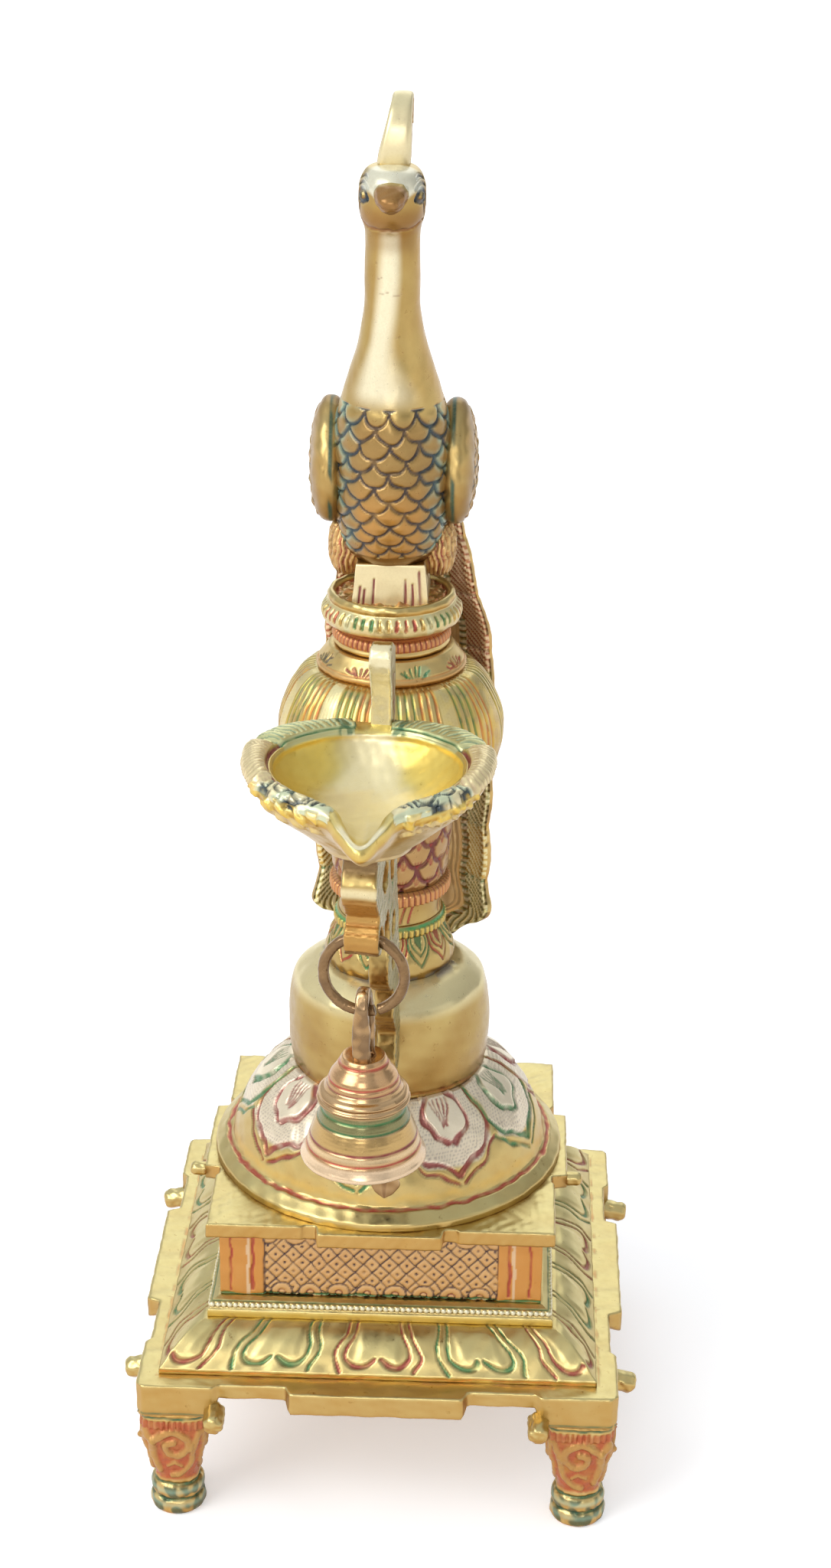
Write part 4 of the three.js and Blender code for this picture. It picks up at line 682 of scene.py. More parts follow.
# %% [markdown]
# A stepped moulding follows, with a row of beads on its upper edge. The beads are punched with a hollow
# punch, so they are all the same size and nearly touch. Relief makes them: half a ball over each pitch.
# %% Bead moulding
BEAD_PITCH, BEAD_ROW, MOULDING_FACE = 1.82, 4.5, 9
moulding = squared(joined(
    straight([(54.3, 0), (54.3, 2.4), (53.4, 3.0)], 0.5), straight([(53.4, 3.0), (53.4, 5.1), (51.1, 6.0)], 0.24, 2),
    straight([(51.1, 6), (47.5, 6), (47.5, 3), (51.3, 0), (54.3, 0)], 2.0, 0))[:-1],
    level("bead_moulding"), 370, loop=True)
moulding.shown = moulding.along < MOULDING_FACE
bead_row = moulding.along - BEAD_ROW
ball = 1 - (fold(moulding.across * 53.4, BEAD_PITCH) / 0.88) ** 2 - (bead_row / 0.95) ** 2
moulding.relief += 0.8 * moulding.shown * np.sqrt(np.clip(ball, 0, 1))
moulding.cut(np.abs(bead_row - 1.35), 0.9, 0.15, GREEN * 0.7, 0.75)
moulding.tint(CREAM, 0.7 * (ball > 0.15))
moulding.tint(NAVY * 0.4 + GREEN * 0.6, 0.6 * ease(1 - np.abs(bead_row + 0.1) / 1.1) * (ball < 0.02))
moulding.tint(YELLOW, 0.3 * ease((2.6 - moulding.along) / 0.6))
moulding.rough(0.05, 7, 31)
cast("bead_moulding", "pale_brass", moulding)

# %% [markdown]
# The box above has a lattice panel between two pilasters on each side. The lattice is two sets of slanted
# chisel lines with a punched dot in each diamond, and half circles along both edges, all rubbed with
# dark lacquer. The diamonds come from folding the two slanted coordinates.
# %% Lattice box
BOX_HALF, PANEL_HALF, DIAMOND, ARC_PITCH, SLANT, SQUEEZE = 50.5, 36.6, 5.5, 8.9, 0.92, 0.72
INK = MAROON * 0.7 + NAVY * 0.3
box = squared(joined(
    straight([(47.5, 0), (50.5, 0)], 1.5, 0), straight([(50.5, 0), (50.5, 23)], 0.4, 0),
    straight([(50.5, 23), (47.5, 23), (47.5, 0)], 3.0, 0))[:-1], level("lattice_box"), 250, loop=True)
box.shown = (box.along >= 3) & (box.along <= 26)
wobble = 0.22 * box.wave(9, 35)
place, rise = box.across * BOX_HALF + wobble, box.along - 3 + wobble * 0.6
off = np.abs(place)
in_panel = box.shown & (off < PANEL_HALF)
box.relief -= 0.45 * in_panel * ease((PANEL_HALF - off) / 0.5)
box.tint(shade("D9A878"), 0.55 * in_panel)
box.tint(ORANGE * 0.75 + YELLOW * 0.1, 0.7 * ~in_panel)
open_field = in_panel
for foot, first in ((1.0, ARC_PITCH / 2), (22.2, 0.0)):
    reach = np.hypot(fold(place, ARC_PITCH, first), rise - foot)
    open_field = open_field & (reach >= 3.9)
    for radius, width, ink in ((3.55, 0.8, INK), (1.15, 0.65, INK * 0.5 + RED * 0.5)):
        box.cut(np.abs(reach - radius), width, 0.35, ink, where=in_panel)
slants = [place + rise * SLANT, place - rise * SLANT]
for slanted in slants:
    box.cut(np.abs(fold(slanted, DIAMOND)) * SQUEEZE, 0.68, 0.35, INK, where=open_field)
dot = np.hypot(*(fold(slanted, DIAMOND, DIAMOND / 2) for slanted in slants)) * SQUEEZE
box.cut(dot, 1.25, 0.3, INK, 1.0, open_field)
box.cut(np.abs(off - PANEL_HALF), 0.7, 0.3, INK)
for at, width in ((40.2, 1.3), (47.0, 1.0)):
    box.cut(np.abs(off - at + 0.15 * box.wave(5, 36)), width, 0.4, RED, where=(rise > 1.6) & (rise < 21.4))
box.tint(CREAM, 0.35 * ((off > 41.2) & (off < 42.2)))
box.cut(np.abs(rise - 21.0), 0.6, 0.2, RED, 0.7, off > 38)
box.cut(np.abs(rise - 0.3 + 0.3 * box.wave(7, 37)), 1.5, 0.3, GREEN)
box.rough(0.05, 6, 38)
cast("lattice_box", "painted_brass", box)

# %% [markdown]
# The top plate is a plain filed slab with a wide tab in the middle of each edge and two pegs. It is made
# as the base plate was, without the hollow.
# %% Top plate
TOP_HALF, TOP_TAB, TOP_TAB_OUT, TOP_RECESS, TOP_BLOCK = 54.3, 19.6, 4.0, 0.8, 24.3
TOP_PEG = [(1.8, -1), (2.3, 0), (2.3, 3.6), (1.7, 4.6), (0.8, 4.9)]
low, high = level("top_plate"), top_of("top_plate")
plate = squared(joined(
    even([(0.5, low), (46, low)], 8), straight([(46, low), (TOP_HALF, low), (TOP_HALF, high), (46, high)], 0.55, 2),
    even([(46, high), (0.5, high)], 8)), per_side=170, poles=(True, True))
stepped(plate, TOP_HALF, (47, 4), (TOP_TAB + 0.4, 0.9, TOP_TAB_OUT), (TOP_BLOCK + 0.5, 1.2, TOP_RECESS))
z = plate.points[..., 2]
# painted shade: the plate's edge walls are a darker orange gold than its top
plate.tint(shade("BC8436"), 0.45 * (z > low + 0.25) * (z < high - 0.25) * (plate.square() > 50))
plate.rough(0.12, 12, 43)
plate.rough(0.05, 4, 44)
pegs = [peg([hand * (TOP_HALF + TOP_TAB_OUT), -17.2, 94.7], [hand, 0, 0], TOP_PEG, 0.4, 0.1, 45) for hand in (-1, 1)]
cast("top_plate", "pale_brass", plate, *pegs)

# %% [markdown]
# The lotus disc carries the finest chasing: nine petals with a pointed tip, each with a thick flame
# outline round a bud, a stippled ground and five fine lines inside. It is a turned dome whose across
# coordinate is folded nine times; the petal is drawn in shares of half its width.
# %% Lotus disc
DISC_PETALS, FIRST_PETAL, HALF_MM = 9, 30.0, 15.0
TIP = [(14.6, 40), (14.8, 33), (14.2, 26), (10.8, 20.6), (9.2, 19.6), (5.0, 17.6), (1.6, 15.6), (0, 13.4)]
PETAL_RIM = [(14.9, 21.5), (9.2, 16.2), (4.4, 13.6), (1.0, 10.8)]
FLAME = [(5.0, 40.5), (7.8, 36.5), (8.2, 32), (6.0, 28), (2.6, 26), (0.9, 24.2)]
disc = turned(joined(
    straight([(56.2, 0), (56.2, 2.3), (52.4, 5.3), (50.8, 5.7)], 0.5, 2),
    curve([(50.8, 5.7), (50.0, 7.9), (48.25, 13.7), (45.75, 19), (42, 24.1), (37, 28.9), (31.8, 32.2)], 0.5),
    straight([(31.8, 32.2), (26.6, 32.2), (26.6, 29.2), (39, 22.6), (46.4, 7.3), (47, 0), (56.2, 0)], 2.5, 0))[:-1],
    level("lotus_disc"), 600, loop=True)
disc.shown = (disc.along > 2) & (disc.along < 46)
run = disc.along - 2.3 + 0.35 * disc.wave(8, 51)
angle = disc.across + 0.9 * disc.wave(10, 52)
number, turn = repeat(angle, 360 / DISC_PETALS, FIRST_PETAL)
signed = turn / (180 / DISC_PETALS) * HALF_MM
u = np.abs(signed)
ground = ease((14.2 - u) / 1.2) * ease((run - 16 - 0.55 * np.maximum(u - 6, 0)) / 1.5) * disc.shown
in_bud = (away(u, run, [(0, 26), (0, 41)], 9) < 1.0 + 6.6 * ease((run - 23) / 9)) & (run > 24)
stipple = ground * ~in_bud
disc.relief -= 0.16 * stipple
disc.tint(shade("FAEEDC"), 0.65 * ground)
dot = np.hypot(fold(angle + 0.7 * (np.round(run / 1.15) % 2), 1.5) * 0.78, fold(run, 1.15))
disc.cut(dot, 0.85, 0.14, LEAD * 0.5 + RED * 0.1, 0.5, stipple > 0.5)
disc.relief += 0.35 * in_bud * disc.shown
fine_lines = [([(lean, 39), (lean * 0.25, 30.5 - abs(lean) * 0.2)], 0.85) for lean in (-3.6, -1.9, 0.0, 1.9, 3.6)]
for mine, ink in ((number % 2 == 0, DEEP_RED * 0.7 + RED * 0.3), (number % 2 != 0, GREEN)):
    for line, width, depth in ((TIP, 2.1, 0.65), (PETAL_RIM, 1.5, 0.5), (FLAME, 2.6, 0.7)):
        disc.cut(away(u, run, curve(line, 0.6)), width, depth, ink, where=mine)
    disc.chase(signed, run, fine_lines, 0.4, ink, 0.8, mine)
disc.cut(np.abs(run - 5.2), 1.9, 0.5, RED, 0.9)
disc.tint(YELLOW * 0.6 + ORANGE * 0.4, 0.3 * ease(1 - np.abs(run - 8.5) / 2.4) * disc.worn())
disc.rough(0.1, 9, 53)
cast("lotus_disc", "pale_brass", disc)

# %% [markdown]
# The drum is a plain turned shell that carries the column and the bracket. Plain doesn't mean perfect:
# the file leaves very slow waves, which break up the mirrored light, and the solder at its top is grey.
# %% Drum
DRUM_FACE = [(30.6, 0), (31.7, 6.95), (32, 15.8), (31.5, 23.7), (30.4, 29.1), (28.4, 31.6), (24, 34.48), (20, 35.6)]
DRUM_BACK = [(20, 35.6), (12, 35.6), (12, 32.2), (20, 32.2), (26.1, 30.6), (27.6, 28.8), (27.6, 0), (30.6, 0)]
drum = turned(joined(curve(DRUM_FACE, 0.7), straight(DRUM_BACK, 2.5, 0))[:-1], level("drum"), 250, loop=True)
drum.rough(0.16, 22, 61)
drum.rough(0.05, 7, 62)
on_face = drum.along < 50
# painted highlight: a pale band over the drum's upper shoulder and top
drum.tint(shade("F6EEC0"), 0.5 * on_face * ease((drum.along - 26) / 5))
drum.cut(np.abs(drum.along - 1.2 + 0.3 * drum.wave(9, 63)), 1.2, 0.25, ORANGE * 0.7, 0.5, on_face)
patch = drum.wave(7, 64) * 0.5 + 0.5
solder = np.exp(-((drum.radius() - 20.6) / 1.6) ** 2) * (drum.points[..., 2] > level("column_foot") - 3)
drum.tint(LEAD * 0.7, 0.85 * solder * ease((patch - 0.55) * 3))
drum.relief += 0.3 * solder * ease((patch - 0.5) * 3)
cast("drum", "gold_brass", drum)

# %% [markdown]
# The column is five rings between the drum and the pot. Each is a turned outline with a bore for the rod.
# What differs is the chasing: hanging lotus petals at the foot, a beaded ring, a plain waist, a ribbed ring
# in red and a calyx of overlapping petals.
# %% Rings of the column
COLUMN_BORE = 11.0


def ring_of(node, face, columns=300, step=0.4):
    """A turned ring: its face from the outline, closed through a plain bore."""
    face = curve(face, step)
    back = straight([face[-1], (COLUMN_BORE, face[-1][1]), (COLUMN_BORE, face[0][1]), face[0]], 2.5, 0)
    ring = turned(joined(face, back)[:-1], level(node), columns, loop=True)
    ring.length = walked(face)[-1]
    ring.shown = ring.along <= ring.length + 0.01
    return ring


def ribbed(ring, pitch, scale, middle, half, width, height):
    """Raises upright beads round a ring, a pitch in degrees apart, and returns how far each point is from
    the nearest bead's middle line, in mm round the ring."""
    rib = fold(ring.across, pitch) * scale
    ring.bead(np.hypot(rib, np.clip(np.abs(ring.along - middle) - half, 0, None)), width, height)
    return np.abs(rib)


foot = ring_of("column_foot", [(19.6, 0), (20.5, 3), (19.6, 6.75), (17.4, 11.5), (16.4, 13.5)], 340)
down = foot.length - foot.along
number, turn = repeat(foot.across + 0.8 * foot.wave(7, 71), 360 / 14, 8)
u = np.abs(turn) / 25.7 * 8.4
for chosen, ink in ((number % 2 == 0, RED), (number % 2 != 0, GREEN)):
    petals = [(curve([(3.9 * size, -0.5), (4.0 * size, 3 * size), (2.6 * size, 6.6 * size), (0, 10 * size)], 0.6),
               width) for size, width in ((1.0, 1.0), (0.66, 0.9))]
    foot.chase(u, down, petals, 0.5, ink, where=chosen)
    heart = chosen & foot.shown & (u < 1.7 * (1 - down / 5.2)) & (down < 5)
    foot.tint(ink * 0.8, 0.8 * heart)
    foot.relief -= 0.35 * heart
foot.relief += 0.35 * ease((3.4 - u) / 1.6) * ease((8 - down) / 3) * foot.shown
foot.tint(LEAD * 0.6, 0.8 * ease((2.2 - foot.along) / 1.5) * ease(foot.wave(6, 72) * 2))
foot.rough(0.1, 5, 73)
cast("column_foot", "gold_brass", foot)

beads = ring_of("column_bead_ring", [(16.6, 0), (17.2, 0.8), (17.2, 3.2), (16.6, 4.0)], 420, 0.3)
rib = ribbed(beads, 360 / 56, 1.9 / 6.43, 1.7, 0.8, 1.5, 0.55)
beads.tint(GREEN * 0.7, 0.75 * ease((rib - 0.6) / 0.3) * (beads.along < 3.2))
beads.cut(np.abs(beads.along - beads.length + 0.9), 1.7, 0.2, LEAF * 0.6 + GREEN * 0.4, 1.0)
beads.tint(YELLOW, 0.3 * (rib < 0.6) * (beads.along < 3.2))
cast("column_bead_ring", "gold_brass", beads)

waist = ring_of("column_waist", [(16.2, 0), (15.9, 2), (15.9, 5), (16.2, 7)])
slashes = [([(shift - 0.9, 1.0), (shift + 0.6, 6.0)], 1.0) for shift in (-1.3, 1.3)]
waist.chase(fold(waist.across, 60, 22) / 360 * 100, waist.along, slashes, 0.35, RED, 0.85)
waist.rough(0.08, 6, 74)
cast("column_waist", "gold_brass", waist)

ribs = ring_of("column_rib_ring", [(17.4, 0), (18.4, 0.9), (18.4, 3.7), (17.4, 4.6)], 460, 0.3)
rib = ribbed(ribs, 6, 1.93 / 6, ribs.length / 2, 1.2, 1.6, 0.55)
ribs.tint(ORANGE * 0.6 + RED * 0.4, 0.55)
ribs.tint(DEEP_RED, 0.8 * ease((rib - 0.6) / 0.3))
cast("column_rib_ring", "painted_brass", ribs)

# %% [markdown]
# Scales and round petals overlap like tiles. Each one's edge is the lower half of an ellipse that hangs
# from its row, and every second row is shifted by half a scale. The calyx under the pot has two such rows,
# and the bird, its wings and its tail use the same helper.
# %% Overlapping scales and the calyx
CALYX_WIDE, CALYX_TALL = 9.75, 6.4


def overlapping(skin, where, across, along, wide, tall, ink, width=1.0, depth=0.45):
    """Cuts the edges of overlapping scales of that width and height in mm. Returns the distance in mm to
    the nearest edge: | hypot(u / half width, v / 1.08) - 1 | in mm, for the lower half of each ellipse."""
    best = np.full(across.shape, FAR)
    for shift in (0, 1):
        inside = along / tall - (np.round((along / tall - shift) / 2) * 2 + shift)
        u = fold(across, wide, shift * wide / 2)
        edge = np.abs(np.hypot(u / (wide * 0.5), (inside - 0.5) / 1.08) - 1) * wide * 0.42
        best = np.minimum(best, np.where(where & (inside < 0.5), edge, FAR))
    skin.cut(best, width, depth, ink)
    return best


calyx = ring_of("column_calyx", [(16.6, 0), (18, 3.6), (18.8, 10.9), (19.4, 18.2), (20.5, 24.3)], 340, 0.42)
scaled = arc_mm(calyx.across, 18.6)
calyx.tint(shade("B98A5A"), 0.5)
overlapping(calyx, calyx.shown, scaled + 0.3 * calyx.wave(6, 75), calyx.along, CALYX_WIDE, CALYX_TALL,
            DEEP_RED * 0.7, 1.4, 0.6)
veins = [([(0.25 * lean, -1.0), (1.1 * lean, 1.2)], 0.6) for lean in (-1, 0, 1)]
calyx.chase(fold(scaled, 4.87), fold(calyx.along, CALYX_TALL, 3.4), veins, 0.25, RED, 0.6)
calyx.rough(0.08, 5, 76)
cast("column_calyx", "gold_brass", calyx)

# %% [markdown]
# The pot is a round shell with chased lines that run from its mouth over the shoulder, three green and
# three red in turn, with a stippled field between the groups. Lines of longitude get closer towards the
# mouth, so their width is a share of the distance between them.
# %% Pot
POT_FACE = [(20, 0), (22.4, 2.3), (27.7, 7.3), (31.5, 13.2), (33.7, 19.2), (34.6, 25.1), (34.1, 30.1),
            (32.35, 35.6), (29.4, 41), (26.1, 44.5), (23, 45.6)]
POT_BACK = [(23, 45.6), (18, 45.6), (18, 43), (24, 41.5), (31, 30), (31.4, 20), (25, 8), (16, 2), (16, 0), (20, 0)]
POT_LINE = 1.35
face = curve(POT_FACE, 0.55)
pot = turned(joined(face, straight(POT_BACK, 3.0, 0))[:-1], level("pot"), 480, loop=True)
length = walked(face)[-1]
pot.shown = pot.along < length
mm_round = arc_mm(1, pot.radius())
line_number, line_turn = repeat(fold(pot.across + 0.35 * pot.wave(14, 81), 36, 14), 4.6, 2.3)
gap = np.abs(line_turn) * mm_round
fade = ease((pot.along - 17) / 5) * ease((length - 1.0 - pot.along) / 2)
slim = POT_LINE * np.clip(pot.radius() / 34, 0.4, 1)
for first, last, ink in ((-2, 0, GREEN), (1, 3, ORANGE * 0.5 + RED * 0.5)):
    chosen = (line_number >= first) & (line_number <= last)
    pot.cut(gap, slim + 0.01, 0.5, where=chosen)
    pot.tint(ink, 0.9 * ease(chosen * np.clip(1 - 2 * gap / slim, 0, 1) * 2) * fade * pot.worn())
plain = pot.shown & ((line_number < -2) | (line_number > 3))
dot = np.hypot(fold(pot.across, 2.1) * mm_round, fold(pot.along + 0.6 * (np.round(pot.across / 2.1) % 2), 1.2))
pot.cut(dot, 0.8, 0.14, YELLOW * 0.5, 0.4, plain)
pot.tint(YELLOW, 0.22 * ease((pot.worn() - 0.8) * 4) * ease((pot.along - 12) / 12))
# painted highlight: the stippled field is pale cream on the upper left of the shoulder
pot.tint(shade("F4ECB8"), 0.6 * plain * ease(1.5 - np.abs(pot.across + 22) / 52) * ease((pot.along - 24) / 10))
pot.rough(0.08, 9, 82)
cast("pot", "pale_brass", pot)

# %% [markdown]
# Above the pot follow a painted flange, a ribbed neck ring, a fluted collar and the block under the bird's
# feet. The flange's flowers are free chisel strokes, drawn as fans of short lines with a little chance in
# them, so no two are alike.
# %% Flange, neck ring, collar and foot block
FLANGE_MM, FLOWERS = 21, [RED, GREEN, NAVY, DEEP_RED, GREEN, RED, NAVY, LEAF]
FLANGE_FACE = [(22.0, 0), (22.75, 0.9), (22.75, 1.6), (22.2, 2.5), (20.6, 4.6), (18.9, 7)]
flange = ring_of("pot_flange", FLANGE_FACE, 420, 0.35)
across = arc_mm(flange.across, FLANGE_MM)
draw = np.random.default_rng(84)
for k, ink in enumerate(FLOWERS):
    centre = (k + 0.5) * 2 * math.pi * FLANGE_MM / len(FLOWERS) - math.pi * FLANGE_MM
    for stroke in range(-3, 4):
        lean = stroke * 0.36 + draw.normal() * 0.12
        start = np.array([centre + stroke * 0.9, 3.4 + draw.uniform(-0.4, 0.6)])
        end = start + np.array([math.sin(lean), math.cos(lean)]) * draw.uniform(2.0, 3.4)
        mark = away(across, flange.along, [start, (start + end) / 2 + draw.normal(size=2) * 0.25, end], 2)
        flange.cut(mark, 0.95, 0.35, ink, 0.9)
    patch = ease(2 - np.hypot(across - centre - 3, flange.along - 5) / 1.3)
    flange.tint(LEAF * 0.5 + TEAL * 0.5, 0.4 * patch * (k % 3 == 1))
flange.cut(np.abs(flange.along - 3.0), 0.7, 0.25, ORANGE, 0.6)
flange.tint(ORANGE * 0.6, 0.35 * (flange.along < 2.6))
flange.rough(0.08, 5, 85)
cast("pot_flange", "painted_brass", flange)

neck = ring_of("neck_ring", [(16.3, 0), (17.3, 1.5), (17.3, 4.2), (15.9, 6)], 440, 0.3)
rib = ribbed(neck, 6, 1.8 / 6, 4.3, 0.9, 1.45, 0.5)
neck.bead(np.abs(neck.along - 1.4), 1.9, 0.5)
neck.tint(ORANGE * 0.4 + RED * 0.6, 0.6 * (neck.along > 2.4))
neck.tint(DEEP_RED, 0.85 * ease((rib - 0.55) / 0.25) * (neck.along > 2.6) * (neck.along < 6))
neck.rough(0.06, 4, 86)
cast("neck_ring", "painted_brass", neck)

FLUTE_PITCH, FLUTE_MM, FLUTE_WIDE = 7.2, 2.6, 1.55
collar = turned(joined(
    curve([(15.7, 0), (19.8, 1.76), (21.2, 3.96), (20.9, 6.16), (18.9, 8.2)], 0.35),
    curve([(18.9, 8.2), (19.3, 9.6), (18.4, 10.9), (17.1, 10.7), (16.3, 8.9)], 0.35),
    straight([(16.3, 9.4), (12, 9.4), (11, 9.4), (11, 0), (15.7, 0)], 1.0, 0))[:-1], level("collar"), 420, loop=True)
run, up = collar.along, collar.points[..., 2] - level("collar")
number, turn = repeat(collar.across + 0.5 * collar.wave(6, 87), FLUTE_PITCH)
flute = np.hypot(turn / FLUTE_PITCH * FLUTE_MM, np.clip(np.abs(run - 9.2) - 1.5, 0, None))
on_band = (run > 5) & (run < 12.5)
collar.cut(flute, FLUTE_WIDE, 0.5, where=on_band)
share = on_band * np.clip(1 - 2 * flute / FLUTE_WIDE, 0, 1)
group = number % 10
for middle, ink in ((2, DEEP_RED * 0.4 + RED * 0.6), (7, GREEN)):
    collar.tint(ink, 0.9 * (np.abs(group - middle) <= 1) * ease(share * 2.2) * collar.worn())
collar.tint(TEAL, 0.25 * on_band * (group == 5))
collar.tint(shade("F3E9B4"), 0.4 * on_band * (share < 0.2))
collar.cut(np.abs(collar.radius() - 16.2), 1.0, 0.15, RED, 0.8, (run > 13) & (up > 8))
collar.tint(ORANGE, 0.35 * (run < 5.2))
top_floor, crust = (run > 13) & (collar.radius() < 16.4) & (up > 8.5), collar.wave(3.2, 90)
collar.relief += 0.5 * top_floor * crust
collar.tint(ORANGE * 0.6 + RED * 0.25, 0.6 * top_floor * ease(0.5 + crust))
collar.rough(0.1, 5, 88)
cast("collar", "pale_brass", collar)

low, high = level("foot_block"), top_of("foot_block")
block = squared(straight([(0.5, low), (11.0, low), (11.4, low + 0.6), (10.2, high - 0.3), (9.8, high), (0.5, high)],
                         0.45), per_side=64, poles=(True, True))
side_wall = block.square() > 9.9
# painted highlight: the block's side walls are pale cream
block.tint(shade("F8E9BC"), 0.7 * side_wall)
for at, tall in ((-8.7, 6.2), (-7.4, 5.4), (-4.9, 8.5), (4.2, 8.4), (6.2, 7.2), (8.4, 11.0)):
    gap = away(block.across * 10.5, block.points[..., 2] - low, [(at, -1), (at + 0.15, tall)], 2)
    block.cut(gap, 0.95, 0.35, DEEP_RED, 0.95, side_wall)
block.rough(0.06, 6, 89)
cast("foot_block", "pale_brass", block)

# %% [markdown]
# The peacock's body, neck and head are one casting. It could be sculpted, but a bird that stands straight
# is nearly a stack of ellipses, so its shape is a table: at each height the half width, the half depth and
# how far the ellipse has moved forward. A smooth curve runs through the table's rows.
# %% Peacock: the body's shape
BIRD_ROWS = [(0, 11, 11.5, 0), (.034, 14.4, 16.5, .4), (.094, 16.6, 20.25, 1.2), (.18, 17.8, 22.5, 2.1),
             (.265, 18, 22.5, 2.4), (.35, 17.1, 20.25, .8), (.427, 14.8, 16.2, -1.6), (.496, 12.4, 12.9, -3.6),
             (.573, 9.8, 10.2, -5.2), (.658, 8.2, 8.7, -6.2), (.752, 7.9, 8.3, -6.8), (.829, 7.8, 8.4, -7.2),
             (.86, 8.1, 9.4, -7.8), (.885, 9.0, 10.6, -8.6), (.92, 9.5, 11.2, -9), (.957, 9.4, 11.2, -9),
             (.982, 8.5, 10.6, -8.4), (.996, 7.2, 9.4, -7.7), (1.002, 5.4, 7.4, -7.4), (1.004, 2.5, 3.4, -7)]
BIRD_LOW, BIRD_TALL = level("peacock_body"), 116.2

table = curve([(share * BIRD_TALL, wide, deep, ahead) for share, wide, deep, ahead in BIRD_ROWS], 0.42)
height, wide, deep, ahead = (column[:, None] for column in table.T)
angle = full_turn(250)
bird = Skin(around(angle, wide, deep, height + BIRD_LOW, 0, ahead), from_front(angle), height, poles=(True, True))
rise, turn = bird.along, bird.across
off = np.abs(turn)
print("bird", round(BIRD_TALL), "mm tall on", round(BIRD_LOW, 1))

# %% [markdown]
# The breast carries rows of scales that get a little taller upwards, dark at their edges and green on the
# flanks. The throat and neck are bare, with a painted highlight down the middle and painted shade on the
# right, and the back has plain scales behind the wings.
# %% Peacock: scales and neck
SCALE_TOP, SCALE_LOW, SCALE_WIDE, SCALE_TALL = 48.7, 3.6, 9.4, 4.0
front = ease((92 - off + 3 * bird.wave(6, 91)) / 6)
scaled = (rise < SCALE_TOP) & (rise > SCALE_LOW) & (front > 0.5)
scale_across = turn / 30 * SCALE_WIDE + 0.35 * bird.wave(9, 92)
scale_rows = SCALE_TALL * 22 * np.log(np.clip(1 + (rise - SCALE_LOW) / 66, 0.05, None)) + 0.25 * bird.wave(8, 93)
bird.tint(shade("8E6A35"), 0.7 * scaled * ease((SCALE_TOP - rise) / 6))
edge = overlapping(bird, scaled, scale_across, scale_rows, SCALE_WIDE, SCALE_TALL, MAROON * 0.3 + NAVY * 0.4,
                   1.0, 0.55)
bird.relief += 0.25 * ease(edge / 2.5) * scaled * ease((SCALE_TOP - rise) / 4)
flank = ease((off - 28) / 34) * ease(0.6 + 0.9 * bird.wave(6, 94))
belly = ease((31 - rise) / 14) * ease((45 - off) / 20)
for colour, cover in ((TEAL, 0.75 * ease(1 - edge / 2.0) * flank),
                      (NAVY, 0.9 * ease(1.1 - edge / 0.75) * ease((off - 20) / 20)),
                      (ORANGE * 0.8 + YELLOW * 0.2, 0.3 * belly * ease(edge / 1.2))):
    bird.tint(colour, cover * scaled)
behind = (off > 99) & (rise < 49) & (rise > 3)
overlapping(bird, behind, scale_across, rise, SCALE_WIDE, 4.6, GREEN * 0.7, 0.8, 0.4)
# painted highlight: a pale streak down the middle of the throat and neck; painted shade: darker gold on its right
# side
drift = 7 * ripple(bird.points * [1, 1, 0.35], 26, 88)
neck_highlight = ease(1.25 - np.abs(turn + 11 + drift) / (20 + 28 * ease((69 - rise) / 20)))
bird.tint(shade("F6EDCC"), 0.75 * neck_highlight * ease((rise - 47) / 7) * ease((101 - rise) / 5))
bird.tint(shade("B98D49"), 0.4 * ease((turn - 48) / 30) * (turn < 150) * (rise > 46) * (rise < 97))

# %% [markdown]
# The head is chased freely: an eye of two lids with a raised pupil, a brow, short strokes behind the eye, a
# ledge over the beak and a line under the head. Both sides share one drawing, folded at the middle.
# %% Peacock: head
EYE_TURN, EYE_RISE, HEAD_MM, NECK_MM = 61, 109.4, 10.2, 8.2
LIDS = [([(-2.6, -0.8), (-0.6, 1.7), (1.8, 1.3), (3.6, -0.8)], 1.2),
        ([(-2.6, -0.8), (-0.2, -1.8), (2.0, -1.6), (3.6, -0.8)], 1.1),
        ([(-2.6, 2.2), (0.4, 3.6), (3.6, 2.4)], 0.9), ([(-1.2, 4.6), (1.2, 5.2), (3.8, 4.2)], 0.8)]
STROKES = [([(3.6, -2.2), (5.6, -4.8)], 0.9), ([(2.0, -3.0), (3.4, -5.8)], 1.0), ([(4.6, 0.8), (7.0, -1.4)], 0.8)]
u, v = arc_mm(off - EYE_TURN, HEAD_MM), rise - EYE_RISE
on_head = rise > 98
eye_lines = [(line, width * 1.6) for line, width in [(curve(lid, 0.4), width) for lid, width in LIDS] + STROKES]
bird.chase(u, v, eye_lines, 0.5, NAVY * 0.7, 1.0, on_head)
pupil = np.hypot(u - 0.4, v + 0.2)
bird.relief += 0.45 * ease((1.3 - pupil) / 0.6) * on_head
bird.tint(NAVY * 0.5, 0.9 * on_head * ease((1.1 - pupil) / 0.3))
# painted highlight: the top of the head is pale
head_top_highlight = on_head * ease((rise - 108.6 - 1.4 * ease((off - 25) / 20)) / 1.6)
bird.tint(shade("E6E6D2"), 0.8 * head_top_highlight * ease((80 - off) / 25))
# painted shade: the lower head, below the eyes, is darker brown
bird.tint(shade("94692F"), 0.65 * on_head * ease((107.5 - rise) / 4) * ease((95 - off) / 30) * ease((rise - 99) / 2))
bird.bead(np.abs(rise - 111.8 + 0.0012 * turn ** 2), 3.0, 0.6, on_head & (off < 30))
under_head = np.abs(rise - 99.8 - 0.0004 * turn ** 2 + 0.3 * bird.wave(5, 95))
bird.cut(under_head, 1.4, 0.35, ORANGE * 0.3 + NAVY * 0.1, 0.6, off < 80)
